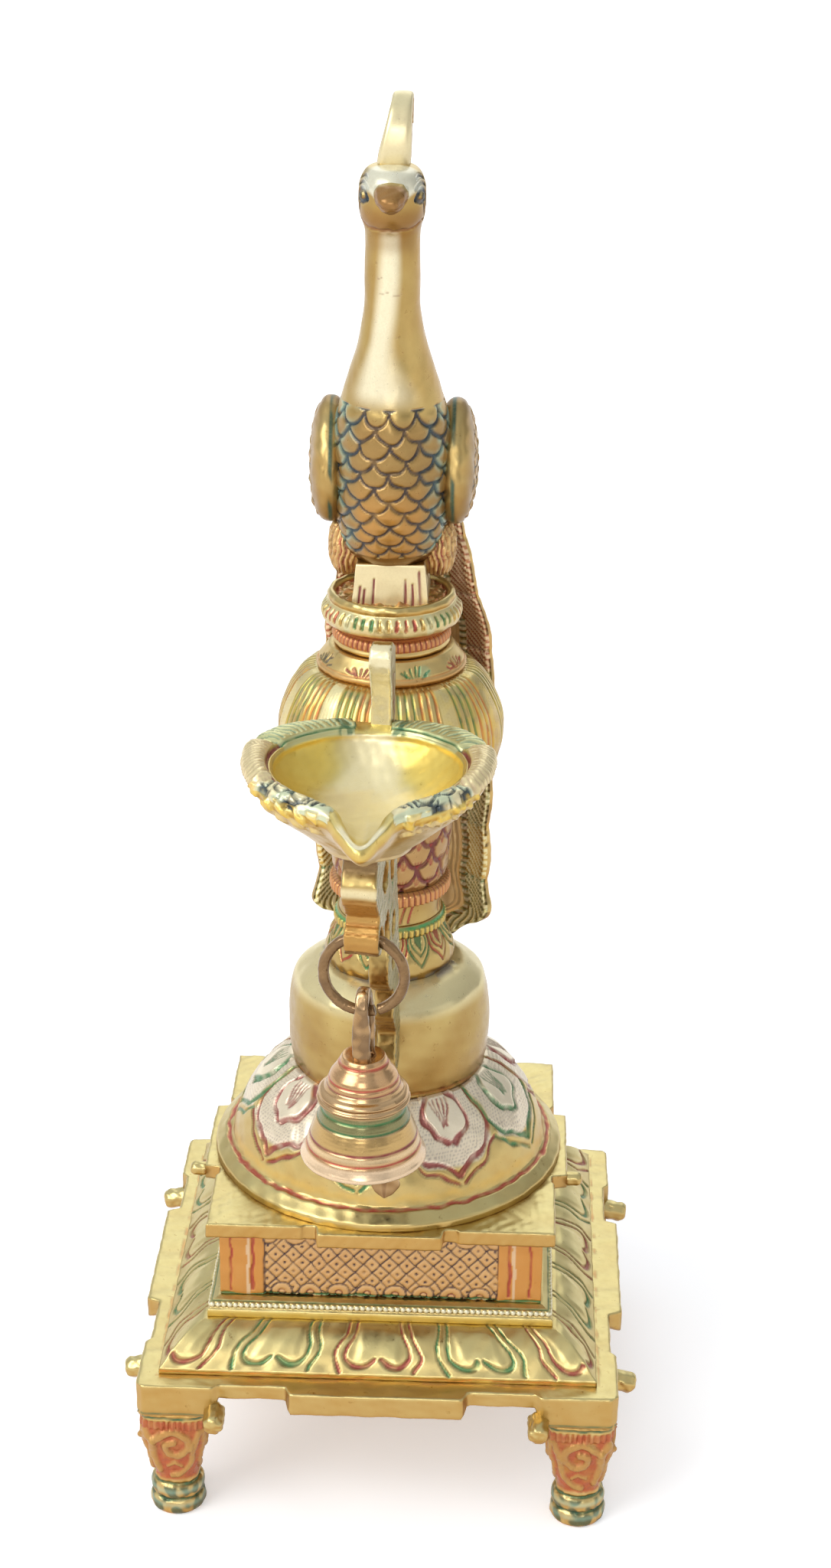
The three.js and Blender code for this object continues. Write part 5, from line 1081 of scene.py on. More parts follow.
# painted shade: a darker band on the throat under the head
bird.tint(shade("8F6A36"), 0.45 * ease(1 - np.abs(rise - 95.7) / 4.5) * ease((70 - off) / 30))
for at, left, right in ((81.5, -26, -6), (81.0, 4, 22), (85.7, -30, -20), (69.2, 10, 16)):
    mark = [(left * 0.143, at), (right * 0.143, at + 0.4)]
    bird.cut(away(arc_mm(turn, NECK_MM), rise, mark, 2), 0.45, 0.12, ORANGE * 0.25, 0.5)
bird.rough(0.1, 16, 96)
bird.rough(0.03, 5, 97)

# %% [markdown]
# A beak is an ellipse carried along a path that gets smaller and bends down at its tip. The same helper
# makes the crest, the rings and the wires later on. The thighs are ribbed balls below the body: their ribs
# are wavy lines that are spread round the outer side.
# %% Peacock: beak and thighs
BEAK_HEIGHT = BIRD_LOW + 109.2
BEAK_PATH = [(0, -15.5, 0.4), (0, -19, 0.3), (0, -22.5, -0.1), (0, -25, -0.7), (0, -26.5, -1.5)]
THIGH_SIZE, THIGH_RIBS, THIGH_RIB_MM = [5, 9, 9.5], 16, 2.2


def swept(centres, sides, ups, half_side, half_up, power=2.0, columns=32, loop=False):
    """A superellipse carried along a path: point = centre + side * a cos t / k + up * b sin t / k, with
    k = (|cos t|^p + |sin t|^p)^(1/p). Side, up and the path's direction are at right angles."""
    turn = full_turn(columns)
    k = squareness(turn, power)
    a, b = (np.broadcast_to(half, len(centres))[:, None] for half in (half_side, half_up))
    points = (centres[:, None] + (a * np.cos(turn) / k)[..., None] * np.reshape(sides, (-1, 1, 3))
              + (b * np.sin(turn) / k)[..., None] * np.reshape(ups, (-1, 1, 3)))
    return Skin(points, np.degrees(turn)[None], walked(centres)[:, None], loop=loop, poles=(not loop, not loop))


beak_path = curve(BEAK_PATH, 0.35) + [0, 0, BEAK_HEIGHT]
to_left = np.array([-1.0, 0, 0])
share = np.linspace(0, 1, len(beak_path))
taper = 4.5 * (1 - share ** 2.2) ** 0.7 + 1.1 * share
beak = swept(beak_path, to_left, np.cross(heading(beak_path), to_left), taper, taper * 0.92, 2.6, 44)
# the lower half is narrower
beak.points[..., 0] *= 1.06 - 0.42 * np.clip((beak_path[:, 2:] - beak.points[..., 2]) / 4.0, 0, 1)
gape = np.minimum(np.abs(beak.across - 180), np.abs(fold(beak.across, 360))) / 57 * 3.2
beak.cut(gape, 0.7, 0.3, ORANGE * 0.2, 0.8, share[:, None] > 0.25)
above = np.sin(np.radians(beak.across))
# painted shade on the beak's sides and underside towards the tip, and a painted highlight on its top at the root
beak.tint(shade("8C602C"), 0.9 * ease((share - 0.3) * 4)[:, None] * ease((1.1 - above) / 0.8))
beak.tint(shade("EAE0C4"), 0.6 * ease((0.4 - share) * 4)[:, None] * ease(above * 2))
beak.rough(0.14, 3, 98)

thighs = []
tilt = np.linspace(0.08, math.pi - 0.08, 44)[::-1]
for hand in (-1, 1):
    ball = stem(np.zeros(3), [0, 0, 1], np.stack([np.sin(tilt), np.cos(tilt)], axis=1), 70)
    # the ribs are spread round the thigh: place is the angle from its outer side, in mm
    place, high = 7 * np.arctan2(ball.points[..., 1], hand * ball.points[..., 0]), 9.5 * ball.points[..., 2]
    ball.points = ball.points * THIGH_SIZE + [hand * 13.6, 2, BIRD_LOW + 2.5]
    ball.tint(shade("DDAE70"), 0.6)
    for k in range(THIGH_RIBS):
        curl = curve([(0, 7), (1.6, 3), (1.0, 0.2), (2.4, -3), (1.8, -7)], 0.7) + [k * THIGH_RIB_MM - 18, 0]
        stroke = away(place, high, curl, 3)
        ball.bead(stroke, 1.5, 0.7)
        ball.cut(np.abs(stroke - 1.0), 0.85, 0.35, (DEEP_RED, RED, ORANGE * 0.6)[k % 3], 0.95)
    ball.rough(0.15, 3, 99)
    thighs.append(ball)
cast("peacock_body", "gold_brass", bird, beak, *thighs)

# %% [markdown]
# The wings are cast apart and soldered to the body, where a dark line stays. Each is a flattened ball that
# gets narrower and sinks towards the tail. The shoulder is chased with scales, and long flight feathers run
# back from it. One wing is worked out and its mirror image is walked the other way round, so that both face
# outwards.
# %% Wings
WING_AT, WING_HALF, WING_TAPER, WING_DROOP = (18.6, 8.5, 324.9), (6.5, 17.5, 18.0), 0.3, math.radians(22)
FEATHER_PITCH, BARB_PITCH = 3.7, 1.5


def wing(hand):
    """A ball's point (cos f, sin f cos t, sin f sin t), stretched, tapered to the back and turned down."""
    f = np.linspace(math.pi - 0.04, 0.04, 66)[:, None]
    t = full_turn(230) * hand
    out, back, up = np.cos(f) + 0 * t, np.sin(f) * np.cos(t), np.sin(f) * np.sin(t)
    out = np.sign(out) * np.abs(out) ** 0.8
    flat_back, flat_up = back * WING_HALF[1], up * WING_HALF[2] * (1 - WING_TAPER * back)
    y = WING_AT[1] + flat_back * math.cos(WING_DROOP) + flat_up * math.sin(WING_DROOP)
    z = WING_AT[2] - flat_back * math.sin(WING_DROOP) + flat_up * math.cos(WING_DROOP)
    points = np.stack([hand * (WING_AT[0] + out * WING_HALF[0]), y, z], axis=-1)
    skin = Skin(points, flat_back, flat_up, poles=(True, True))
    edge_on = out < 0.5 + 0.44 * ease((-0.3 - back) / 0.35)
    skin.tint(shade("A87E40"), 0.55 * ~edge_on)
    # the same waves on both wings, so that one mirrors the other
    a, b = skin.across + 0.4 * ripple(points * [hand, 1, 1], 7, 101), skin.along
    overlapping(skin, ~edge_on & (a < -1.5 - 0.02 * b * b), b, -a, 5.2, 3.6, NAVY, 0.9, 0.45)
    feathers = ~edge_on & (a > -0.5 - 0.02 * b * b)
    number, u = repeat((b + 0.18 * a) / (1 - 0.011 * a), FEATHER_PITCH)
    u = np.abs(u)
    skin.cut(u, 0.95, 0.5, NAVY * 0.5 + GREEN * 0.5, where=feathers)
    skin.relief += 0.3 * feathers * ease(u / 1.6)
    barbs = np.abs(fold(a * 0.8 - np.abs(u - FEATHER_PITCH / 2) * 1.3, BARB_PITCH))
    skin.cut(barbs, 0.5, 0.16, where=feathers & (u > 0.6))
    for kind, ink, cover in ((0, RED, 0.5), (1, GREEN, 0.45)):
        skin.tint(ink, cover * feathers * (number % 3 == kind) * ease((u - 0.4) / 1) * skin.worn())
    skin.cut(np.abs(out - 0.5) * 9, 1.0, 0.3, ORANGE * 0.3, where=(out > 0) & (back > -0.4))
    skin.tint(shade("8A6732"), 0.85 * edge_on * ease(1.2 * (back + 1.3)))
    solder = ease((0.12 - np.abs(out + 0.1)) / 0.06) * ease(0.8 + skin.wave(9, 103))
    skin.tint(NAVY * 0.7 + GREEN * 0.3, 0.9 * solder)
    skin.rough(0.1, 6, 102)
    return skin


for name, hand in (("wing_left", -1), ("wing_right", 1)):
    cast(name, "pale_brass", wing(hand))

# %% [markdown]
# The crest is a flat band that stands on the head and curls over to the back. A band with a path down its
# middle is easier to control than its outline: the path gives the curl, and its third value how thick the
# band is there, all in shares of the crest's height.
# %% Crest
CREST_PATH = [(.38, -.09, .22), (.41, .24, .22), (.385, .50, .205), (.29, .70, .19), (.15, .81, .17), (0, .84, .155),
              (-.13, .80, .14), (-.2, .70, .12), (-.2, .60, .10), (-.15, .53, .06)]
CREST_WIDE_FOOT, CREST_WIDE_TOP = 4.7, 2.95
crest_low, crest_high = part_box("crest")
tall = (crest_high.z - crest_low.z) / MM
crest_front = crest_low.y / MM - AXIS[1] / MM
path = curve(CREST_PATH, 0.018)
centres = np.stack([2.7 * np.clip(path[:, 1], 0, 1), crest_front + (0.63 - path[:, 0]) * tall,
                    crest_low.z / MM + path[:, 1] * tall], axis=1)
way = heading(centres)
side = [1.0, 0, 0] - way * way[:, :1]
side /= np.linalg.norm(side, axis=1, keepdims=True)
crest_wide = CREST_WIDE_FOOT + (CREST_WIDE_TOP - CREST_WIDE_FOOT) * ease(path[:, 1] / 0.95)
crest = swept(centres, side, np.cross(way, side), crest_wide, path[:, 2] * tall, 5.0, 130)
flat_side = np.abs(np.cos(np.radians(crest.across))) > 0.86
over = np.sin(np.radians(crest.across))
for offset in (-0.42, 0.42):
    crest.cut(np.abs(over - offset) * 6, 0.9, 0.35, ORANGE * 0.3 + NAVY * 0.2, 0.7, flat_side)
crest.cut(np.abs(fold(crest.along, 2.6)), 0.8, 0.3, ORANGE * 0.4, 0.7, flat_side & (np.abs(over) < 0.3))
crest.tint(shade("B98D4C"), 0.6 * flat_side)
# painted highlight: the crest's front edge is pale
crest.tint(shade("E8DFB8"), 0.65 * ~flat_side * (over < 0))
crest.rough(0.05, 7, 104)
cast("crest", "pale_brass", crest)

# %% [markdown]
# The tail is one curved sheet that stands on the drum's ledge behind the column and leans against the back.
# Its section is a flat ring of two faces with rounded edges, bent to a circle about the lamp's axis, and a
# table gives the circle's radius and the sheet's half width up the tail.
# %% Tail: shape
TAIL_ROWS = [(0, 24.6, .56), (.02, 27.4, .74), (.05, 31, 1.04), (.1, 32.4, 1), (.22, 32.4, 1), (.31, 33.6, 1),
             (.39, 35.6, 1), (.48, 35.6, .95), (.56, 35.6, .92), (.63, 33, .84), (.7, 28.6, .73), (.77, 27.2, .64),
             (.84, 25.6, .5), (.9, 25.2, .36), (.95, 25.2, .28), (1, 24.6, .18)]
TAIL_HALF, TAIL_THICK, TAIL_LOBES, TAIL_LOBE_OUT, TAIL_TURN, TAIL_SPAN = 30.0, 4.0, 9, 1.3, math.radians(8), 134
tail_low = level("tail")
tail_tall = top_of("tail") - tail_low
table = curve([(share * tail_tall, radius, half * TAIL_HALF) for share, radius, half in TAIL_ROWS], 0.6)
height, radius, half = (column[:, None] for column in table.T)
half = half + TAIL_LOBE_OUT * (np.abs(np.sin(math.pi * TAIL_LOBES * height / tail_tall)) - 0.6) * ease(height / 6)
# v runs from 1 to -1 over the outer face and back over the inner one, and gathers at both edges
v = np.concatenate([np.linspace(1, -1, TAIL_SPAN), np.linspace(-1, 1, TAIL_SPAN)])
v = np.sign(v) * (1 - (1 - np.abs(v)) ** 1.15)
outer = np.repeat([1.0, 0.0], TAIL_SPAN)
rounded = np.sqrt(1 - (1 - np.clip((1 - np.abs(v)) * half / 1.8, 0, 1)) ** 2)
bend = v * half / radius + TAIL_TURN
reach = radius + TAIL_THICK * (0.5 + (outer - 0.5) * rounded)
tail = Skin(around(bend, reach, -reach, height + tail_low), v * half, height, poles=(True, True))
front, back = outer < 0.5, outer > 0.5
inward = half - np.abs(tail.across)
rise = tail.along
print("tail", round(tail_tall, 1), "mm tall")

# %% [markdown]
# The front is a plain field inside a border of feather lobes, a beaded strip and two long lines; the field is
# painted pale gold, partly its lacquer and partly painted light that lifts the shade between the tail and the
# column. The back, where all the feathers show, has rows of feather tips, each with its barbs and an eye.
# %% Tail: feathers
EYE_WIDE, EYE_TALL, STRIP_AT = 11.4, 10.5, 9.6
number, _ = repeat(rise, tail_tall / TAIL_LOBES, tail_tall / TAIL_LOBES / 2)
border, upper = front & (inward < 8), rise > 0.52 * tail_tall
tail.cut(np.abs(fold(rise, tail_tall / TAIL_LOBES)) * 0.9, 1.5, 0.7, GREEN * 0.7, where=border)
rib = np.abs(fold(rise * 0.9 + (8 - inward) * 0.75, 1.9))
tail.cut(rib, 1.1, 0.5, where=border & (inward > 0.6))
share = ease(1.4 - rib / 0.38)
for colour, cover in ((GREEN, 0.4 * share * ~upper * (number % 2 == 0)),
                      (shade("F8ECB8"), 0.9 * ~upper * (share < 0.5)),
                      (YELLOW * 0.6 + ORANGE * 0.2, 0.5 * ~upper * (number % 2 != 0) * share),
                      (shade("F2D4AC"), 0.8 * upper * (share < 0.5)), (RED, 0.8 * share * upper)):
    tail.tint(colour, cover * border)
strip, bead_u = np.abs(inward - STRIP_AT), fold(rise, 2.2)
tail.bead(np.hypot(bead_u, strip * 0.8), 2.0, 0.8, front)
tail.tint(GREEN, 0.75 * front * (strip < 1.6) * ease((np.abs(bead_u) - 0.7) / 0.25))
tail.tint(CREAM, 0.5 * front * (strip < 1.4) * (np.abs(bead_u) < 0.6))
for at in (12.8, 14.8):
    tail.cut(np.abs(inward - at + 0.8 * np.sin(rise / 13)), 0.85, 0.3, ORANGE * 0.25, 0.7, front)
# painted light: the plain field is lacquered a lighter gold than it is, to lift the shade between tail and column
tail.tint(shade("F0CC90"), 0.95 * front * (inward > 10.6))

edge = overlapping(tail, back & (inward > 2.2), tail.across, rise, EYE_WIDE, EYE_TALL, NAVY * 0.5 + GREEN * 0.5,
                   1.2, 0.75)
for shift, ring_ink, eye_ink, halo in ((0, GREEN, DEEP_RED, YELLOW), (1, RED, NAVY, TEAL)):
    row = np.round((rise / EYE_TALL - shift) / 2) * 2 + shift
    u, w = fold(tail.across, EYE_WIDE, shift * EYE_WIDE / 2), (rise / EYE_TALL - row) * EYE_TALL
    mine = back & (inward > 2.4) & (edge < 50) & (np.hypot(u / 5.2, (w - 2) / 6.2) < 0.95) & (w < 3.5)
    eye = np.hypot(u, (w + 1.0) * 0.85)
    tail.cut(np.abs(eye - 2.9), 0.9, 0.35, ring_ink, where=mine)
    tail.relief += 0.5 * mine * ease((2.3 - eye) / 1.2)
    tail.tint(eye_ink, 0.75 * mine * ease((1.5 - eye) / 0.5))
    tail.tint(halo, 0.5 * mine * ease((2.5 - eye) / 0.5) * (eye > 1.5))
    barb = np.abs(fold(np.arctan2(u, w + 9) * 16, 1.25))
    tail.cut(barb, 0.55, 0.2, GREEN * 0.5, 0.6, mine & (eye > 3.3))
tail.cut(np.abs(inward - 2.3), 1.0, 0.4, RED, 0.7, back)
tail.rough(0.14, 6, 106)
cast("tail", "painted_brass", tail)

# %% [markdown]
# The oil bowl isn't round: its rim pulls out into a spout in front and is nearly straight at the back. One
# list says how far out and how far down the rim is at each angle from the spout. Every ring of the bowl,
# inside and outside, is a share of that rim, so the shape flows by itself.
# %% Oil bowl: shape
BOWL_AT, BOWL_COLUMNS = np.array([-2.8, -78.0, 0.0]), 470
BOWL_FOOT, BOWL_RIM, SPOUT_DROP, BASIN_HALF, BASIN_DEPTH = 238.3, 264.0, 7.5, 25.5, 15.0
RIM_LIST = [(0, 42.8, 1), (9, 37, .72), (18, 31.65, .45), (30, 31.4, .35), (48, 32.4, .24), (68, 33.5, .08),
            (90, 34.4, 0), (112, 36.5, 0), (134, 36.3, 0), (156, 33.2, 0), (180, 31, .05)]
BOWL_STEPS = [3, 8, 14, 18, 18, 6, 5, 4, 12, 12, 4, 6, 8, 10, 10, 12, 10, 5]
rim_line = curve([(-a, r, d) for a, r, d in RIM_LIST[:0:-1]] + RIM_LIST, 0.6)
angle = full_turn(BOWL_COLUMNS) - math.pi
degrees = np.degrees(angle)
rim_out = np.interp(degrees, rim_line[:, 0], rim_line[:, 1])
rim_high = BOWL_RIM - SPOUT_DROP * np.interp(degrees, rim_line[:, 0], rim_line[:, 2])
spout = np.exp(-(degrees / 13) ** 2)
basin_edge = BASIN_HALF * (1 - 0.05 * np.cos(2 * angle)) + (0.93 * rim_out - BASIN_HALF) * spout
bowl_tall, floor_level = rim_high - BOWL_FOOT, BOWL_RIM - BASIN_DEPTH
rings = [(0.5, BOWL_FOOT), (11.0, BOWL_FOOT), (0.42 * rim_out, BOWL_FOOT + 0.10 * bowl_tall),
         (0.6 * rim_out, BOWL_FOOT + 0.3 * bowl_tall), (0.84 * rim_out, BOWL_FOOT + 0.58 * bowl_tall),
         (0.98 * rim_out, rim_high - 4.5), (rim_out, rim_high - 2.5), (0.985 * rim_out, rim_high - 0.6),
         (0.95 * rim_out, rim_high), (basin_edge * 0.55 + 0.43 * rim_out, rim_high - 0.2),
         (basin_edge, rim_high - 1.2)]
rings += [(basin_edge * share, floor_level + (rim_high - 2.2 - floor_level) * share ** (2.6 - 1.1 * spout))
          for share in (0.97, 0.9, 0.8, 0.65, 0.5, 0.3, 0.12, 0.02)]


def through(knots, steps):
    """Smooth rows through rings of radius and height: the same cubic mix as in curve, along the rings."""
    flat = np.concatenate([2 * knots[:1] - knots[1:2], knots, 2 * knots[-1:] - knots[-2:-1]])
    made = [cubic(*flat[k:k + 4], (np.arange(count) / count)[:, None, None]) for k, count in enumerate(steps)]
    return np.concatenate(made + [knots[-1:]])


knots = np.array([np.broadcast_arrays(radius, height, angle)[:2] for radius, height in rings])
radius, height = through(knots, BOWL_STEPS).swapaxes(0, 1)
row = np.arange(len(radius))[:, None]
bowl = Skin(around(angle, radius, radius, height) + BOWL_AT, degrees[None], row, poles=(True, True))
print("bowl rings", len(rings), "rows", len(radius))

# %% [markdown]
# The rim's land carries carved leaves in front, roped rolls at the sides and beaded strips behind, and the
# basin inside stays smooth, with a painted pale reflection down its middle. Places on the land are given as the
# way round from the spout and the way out from the basin's edge, both in mm.
# %% Oil bowl: carving
first_land, last_land, edge_row = sum(BOWL_STEPS[:7]), sum(BOWL_STEPS[:10]), sum(BOWL_STEPS[:4])
LEAF_FROM, LEAF_TO, ROLL_TO, STRIP_TO = 9, 34.5, 61, 91
arc = arc_mm(np.abs(degrees)[None], 31) + 0.4 * bowl.wave(5, 111)
land_wide = np.maximum(0.97 * rim_out - basin_edge, 1)
land_out = np.clip((radius - basin_edge) / land_wide, 0, 1)
land_mm = land_out * land_wide
on_land = (row >= first_land - 4) & (row <= last_land + 1)


def bulge(value, middle, half):
    """Half a circle's height over a middle: sqrt(1 - (distance / half)^2)."""
    return np.sqrt(np.clip(1 - ((value - middle) / half) ** 2, 0, 1))


# leaves in front, from beside the spout to the side rolls
in_leaf = on_land & (arc > LEAF_FROM) & (arc < LEAF_TO)
swell = np.sin(np.clip((arc - LEAF_FROM) / (LEAF_TO - LEAF_FROM), 0, 1) * math.pi) ** 0.6
bowl.relief += np.where(in_leaf, 1.5 * swell * np.clip(np.sin(land_out * math.pi), 0, 1) ** 0.7, 0)
bowl.tint(CREAM, 0.5 * in_leaf)
bowl.tint(TEAL, 0.4 * in_leaf * ease(0.5 + bowl.wave(6, 112)))
LEAF_LINES = [(curve([(31, 1.2), (29.6, 4.0), (26.6, 4.6), (25.4, 2.9), (26.8, 1.8), (28.2, 2.6)], 0.4), 1.15),
              (curve([(24.5, 1.0), (22.6, 3.6), (19.4, 4.8), (17.6, 3.0), (18.8, 1.6)], 0.4), 1.1),
              (curve([(33.5, 5.6), (28, 6.4), (22, 5.8), (16.5, 4.4)], 0.5), 0.9), ([(33, 2.2), (31.8, 5.2)], 1.0),
              ([(22.5, 5.0), (20.8, 7.6)], 0.9), ([(26, 5.4), (25, 7.8)], 0.8), ([(29.5, 5.6), (30, 7.8)], 0.8),
              ([(15.8, 1.6), (16.8, 4.6)], 1.3), ([(13.6, 1.2), (14.8, 4.4)], 1.5), ([(11.6, 1.0), (12.6, 3.6)], 1.4)]
bowl.chase(arc, land_mm, LEAF_LINES, 0.6, NAVY, 0.95, in_leaf)
bowl.tint(NAVY * 0.6 + TEAL * 0.2, 0.7 * in_leaf * (np.hypot(arc - 24, land_mm - 2.8) < 1.4))

# rolls at the sides with slanted ribs, and a red line between roll and basin
in_roll = on_land & (arc > 34) & (arc < ROLL_TO)
bowl.relief += 1.9 * in_roll * ease((arc - 34) / 3) * ease((ROLL_TO - arc) / 3) * bulge(land_out, 0.66, 0.42)
rope = np.abs(fold(arc + 0.55 * land_mm, 1.75))
bowl.cut(rope, 0.75, 0.35, ORANGE * 0.25 + RED * 0.2, 0.5, in_roll & (land_out > 0.36))
bowl.tint(shade("F0DCBC"), 0.5 * in_roll * (land_out > 0.3))
bowl.cut(np.abs(land_mm - 1.5), 1.5, 0.5, DEEP_RED, 0.95, on_land & (arc > 31) & (arc < 62))

# beaded strips behind, with green lines, and green blobs beside the bracket
in_strip = on_land & (arc > 61.5) & (arc < STRIP_TO)
bowl.relief += 1.2 * in_strip * ease((arc - 61.5) / 3) * bulge(land_out, 0.55, 0.5)
tick = np.abs(fold(arc + 0.35 * land_mm, 2.1))
bowl.cut(tick, 0.75, 0.35, GREEN * 0.5 + NAVY * 0.3, 0.8, in_strip & (land_out > 0.3))
bowl.tint(TEAL, 0.3 * in_strip)
bowl.cut(np.abs(land_mm - 1.3), 1.0, 0.3, GREEN * 0.8, 0.9, in_strip)
blob = in_strip * ease((arc - 84) / 2) * ease(1.2 * bowl.wave(3, 113) + 0.6)
bowl.tint(GREEN * 0.5 + NAVY * 0.4, 0.8 * blob)

# small lumps of leaf under the front rim, outside
lump = (row > edge_row) & (row < first_land) & (arc > 12) & (arc < 36)
lump_wave = np.clip(bowl.wave(4.2, 114) + 0.2, 0, 1) * ease((row - edge_row) / 10)
bowl.relief += 1.1 * lump * lump_wave
bowl.tint(YELLOW * 0.8 + ORANGE * 0.2, 0.5 * lump * ease(lump_wave * 1.5))
# painted reflection in the basin, pale down the middle and yellow on both sides, a painted highlight on the spout,
# and painted shade in a duller gold on the outside underneath
in_basin = row > last_land
aside, behind_middle = np.abs(bowl.points[..., 0] - BOWL_AT[0]), bowl.points[..., 1] - BOWL_AT[1]
reflection_half = 12.5 - 6 * ease((behind_middle - 2) / 18) + 0.8 * bowl.wave(12, 117)
bowl.tint(YELLOW, 0.5 * in_basin * ease((aside - reflection_half) / 7))
bowl.tint(shade("F2E8C2"), 0.7 * in_basin * ease((reflection_half + 4 - aside) / 7) * ease((behind_middle + 32) / 6))
bowl.tint(shade("F3EFD8"), 0.6 * (row > first_land) * ease((8 - aside) / 3) * ease((-31 - behind_middle) / 4))
bowl.tint(shade("C9B48E"), 0.6 * (row < sum(BOWL_STEPS[:5])) * ease(0.8 + 0.5 * bowl.wave(16, 118)))
bowl.rough(0.12, 10, 115)
bowl.rough(0.04, 4, 116)
cast("oil_bowl", "basin_brass", bowl)

# %% [markdown]
# The bracket is a pierced plate with a hook, too free a shape for one profile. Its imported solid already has
# the right form, so this piece starts from a merged copy of it. A fine voxel remesh gives it an even skin,
# smoothing rounds its edges as filing does, and then the chisel lines are put in by each point's place.
# %% Bracket: an even skin
VOXEL_METRES, FILING_ROUNDS = 0.00052, 6
pivots = {joint["child"]: np.array(joint["pos_m"]) / MM - AXIS / MM for joint in frame["joints"]}
ring_joint = next(joint for joint in frame["joints"] if joint["name"] == "ring_swing")
SIDE, UP = np.array([*ring_joint["axis"][:2], 0.0]), np.array([0.0, 0.0, 1.0])
FORWARD = np.array([SIDE[1], -SIDE[0], 0.0])
arm = put("bracket_cast", frame["nodes"]["bracket"].data.copy())
arm.modifiers.new("weld", "WELD").merge_threshold = 1e-5
remesh = arm.modifiers.new("even_skin", "REMESH")
remesh.mode, remesh.voxel_size = "VOXEL", VOXEL_METRES
soften = arm.modifiers.new("filed", "SMOOTH")
soften.factor, soften.iterations = 0.5, FILING_ROUNDS
mesh = bpy.data.meshes.new_from_object(arm.evaluated_get(bpy.context.evaluated_depsgraph_get()))
arm.modifiers.clear()
arm.data = mesh
place, facing = np.empty((len(mesh.vertices), 3)), np.empty((len(mesh.vertices), 3))
for key, data in (("co", place), ("normal", facing)):
    flat = np.empty(data.size)
    mesh.vertices.foreach_get(key, flat)
    data[...] = flat.reshape(-1, 3)
print("bracket points", len(place))

# %% [markdown]
# The chisel class works on a grid. The bracket has none, so its points become one long row that brings its
# own normals. Out and up, the way forward from the drum and the height, are the pattern's coordinates.
# %% Bracket: chasing


class Chased(Skin):
    """The same chisel and lacquer for points that don't lie on a grid, with the normals of their mesh."""

    def __init__(self, points, normals):
        super().__init__(points[None])
        self.own = normals[None]

    def normals(self, points):
        """The normals that the mesh came with."""
        return self.own


STEMS = [([(8, 150), (14, 162), (26, 170), (33, 180), (30, 192)], 1.3, GREEN),
         ([(12, 148), (20, 158), (32, 166), (39, 178), (38, 194)], 1.0, GREEN * 0.7),
         ([(26, 196), (20, 206), (14, 214), (16, 226), (26, 232)], 1.3, GREEN),
         ([(34, 200), (30, 210), (26, 218), (32, 228)], 1.1, GREEN * 0.6 + NAVY * 0.3),
         ([(14, 236), (16, 250), (14, 264), (15, 278)], 1.1, DEEP_RED)]
chased = Chased((place - AXIS) / MM, facing)
out, up = (chased.points - [1.8, -32.0, 0.0]) @ FORWARD, chased.points[..., 2]
on_side, on_front = np.abs(facing @ SIDE)[None] > 0.8, (facing @ FORWARD)[None] > 0.35
chased.tint(shade("A3976A"), 0.8 * on_side)
# painted light: a non-metal brass colour in the narrow gap against the drum lifts the dark there
chased.tint(shade("A88850"), 0.85 * (out < 2.5) * ~on_side)
for line, width, ink in STEMS:
    chased.cut(away(out, up, curve(line, 1)), width * 1.7, 0.55, ink * 0.8, 1.0, on_side)
chased.cut(np.abs(fold(up * 0.8 + out * 0.6, 3.1)), 0.8, 0.28, GREEN * 0.5, 0.55, on_side & (up < 236))
chased.cut(np.abs(up - 213.6), 1.3, 0.4, ORANGE * 0.4 + RED * 0.2, 0.8, on_front)
chased.cut(np.abs(up - 211.4), 0.8, 0.3, ORANGE * 0.4, 0.8, on_front)
# painted light on the front: painted shade under the bowl, the hook's golden brown, and painted highlights on the
# bulge and on the tongue at the top
for text, cover in (("6F5230", 0.8 * ease((up - 229) / 3) * (up < 241)),
                    ("B27E34", 0.75 * ease((225 - up) / 3) * (up > 206)),
                    ("F2E4B6", 0.65 * ease(1.3 - np.abs(up - 226.0) / 1.8)), ("EEE4BC", 0.8 * ease((up - 256) / 5))):
    chased.tint(shade(text), cover * on_front)
chased.rough(0.12, 8, 122)
chased.rough(0.05, 3, 123)
moved = (chased.points + chased.relief[..., None] * chased.own)[0]
mesh.vertices.foreach_set("co", (moved * MM + AXIS).ravel())
mesh.update()
dress(arm, "bracket", "gold_brass", "lamp", chased.paint, light_and_polish_of(chased.own, chased.relief))

# %% [markdown]
# Below the hook hang a split ring, the bell's loop, the bell and its clapper. They ride on their own bodies,
# so that the joints can swing them. The ring and the loop are wire and bar carried along a path, and their
# places come from the joints: the ring's top lies at the hook's joint, the loop hangs on the ring's bottom.
# %% Ring and loop
RING_HALF, RING_WIRE = (pivots["ring"][2] - pivots["bell"][2]) / 2, 1.6
LOOP_LOW, ARCH_FOOT, LOOP_HALF = pivots["bell"][2] - 14.2, top_of("bell_loop") - 7.4, 3.9
SHANK_LOW = 166.4


def circle(centre, radius, first, turn):
    """Points on an upright circle and the way out at each: first * cos turn + up * sin turn."""
    way_out = first * np.cos(turn)[:, None] + UP * np.sin(turn)[:, None]
    return centre + radius * way_out, way_out


split_turn = np.radians(np.linspace(-68, 286, 230))
ring_path, ring_out = circle((pivots["ring"] + pivots["bell"]) / 2, RING_HALF, SIDE, split_turn)
ring = swept(ring_path, ring_out, -np.cross(SIDE, UP), RING_WIRE, RING_WIRE, 2.2, 30)
ring.rough(0.07, 5, 131)
ring.rough(0.03, 2, 132)
ring.tint(shade("70512D"), 0.7)
ring.tint(shade("5F4428"), 0.4 * ease(ring.wave(9, 133)))
cast("bell_ring", "copper_brass", ring, body="ring")

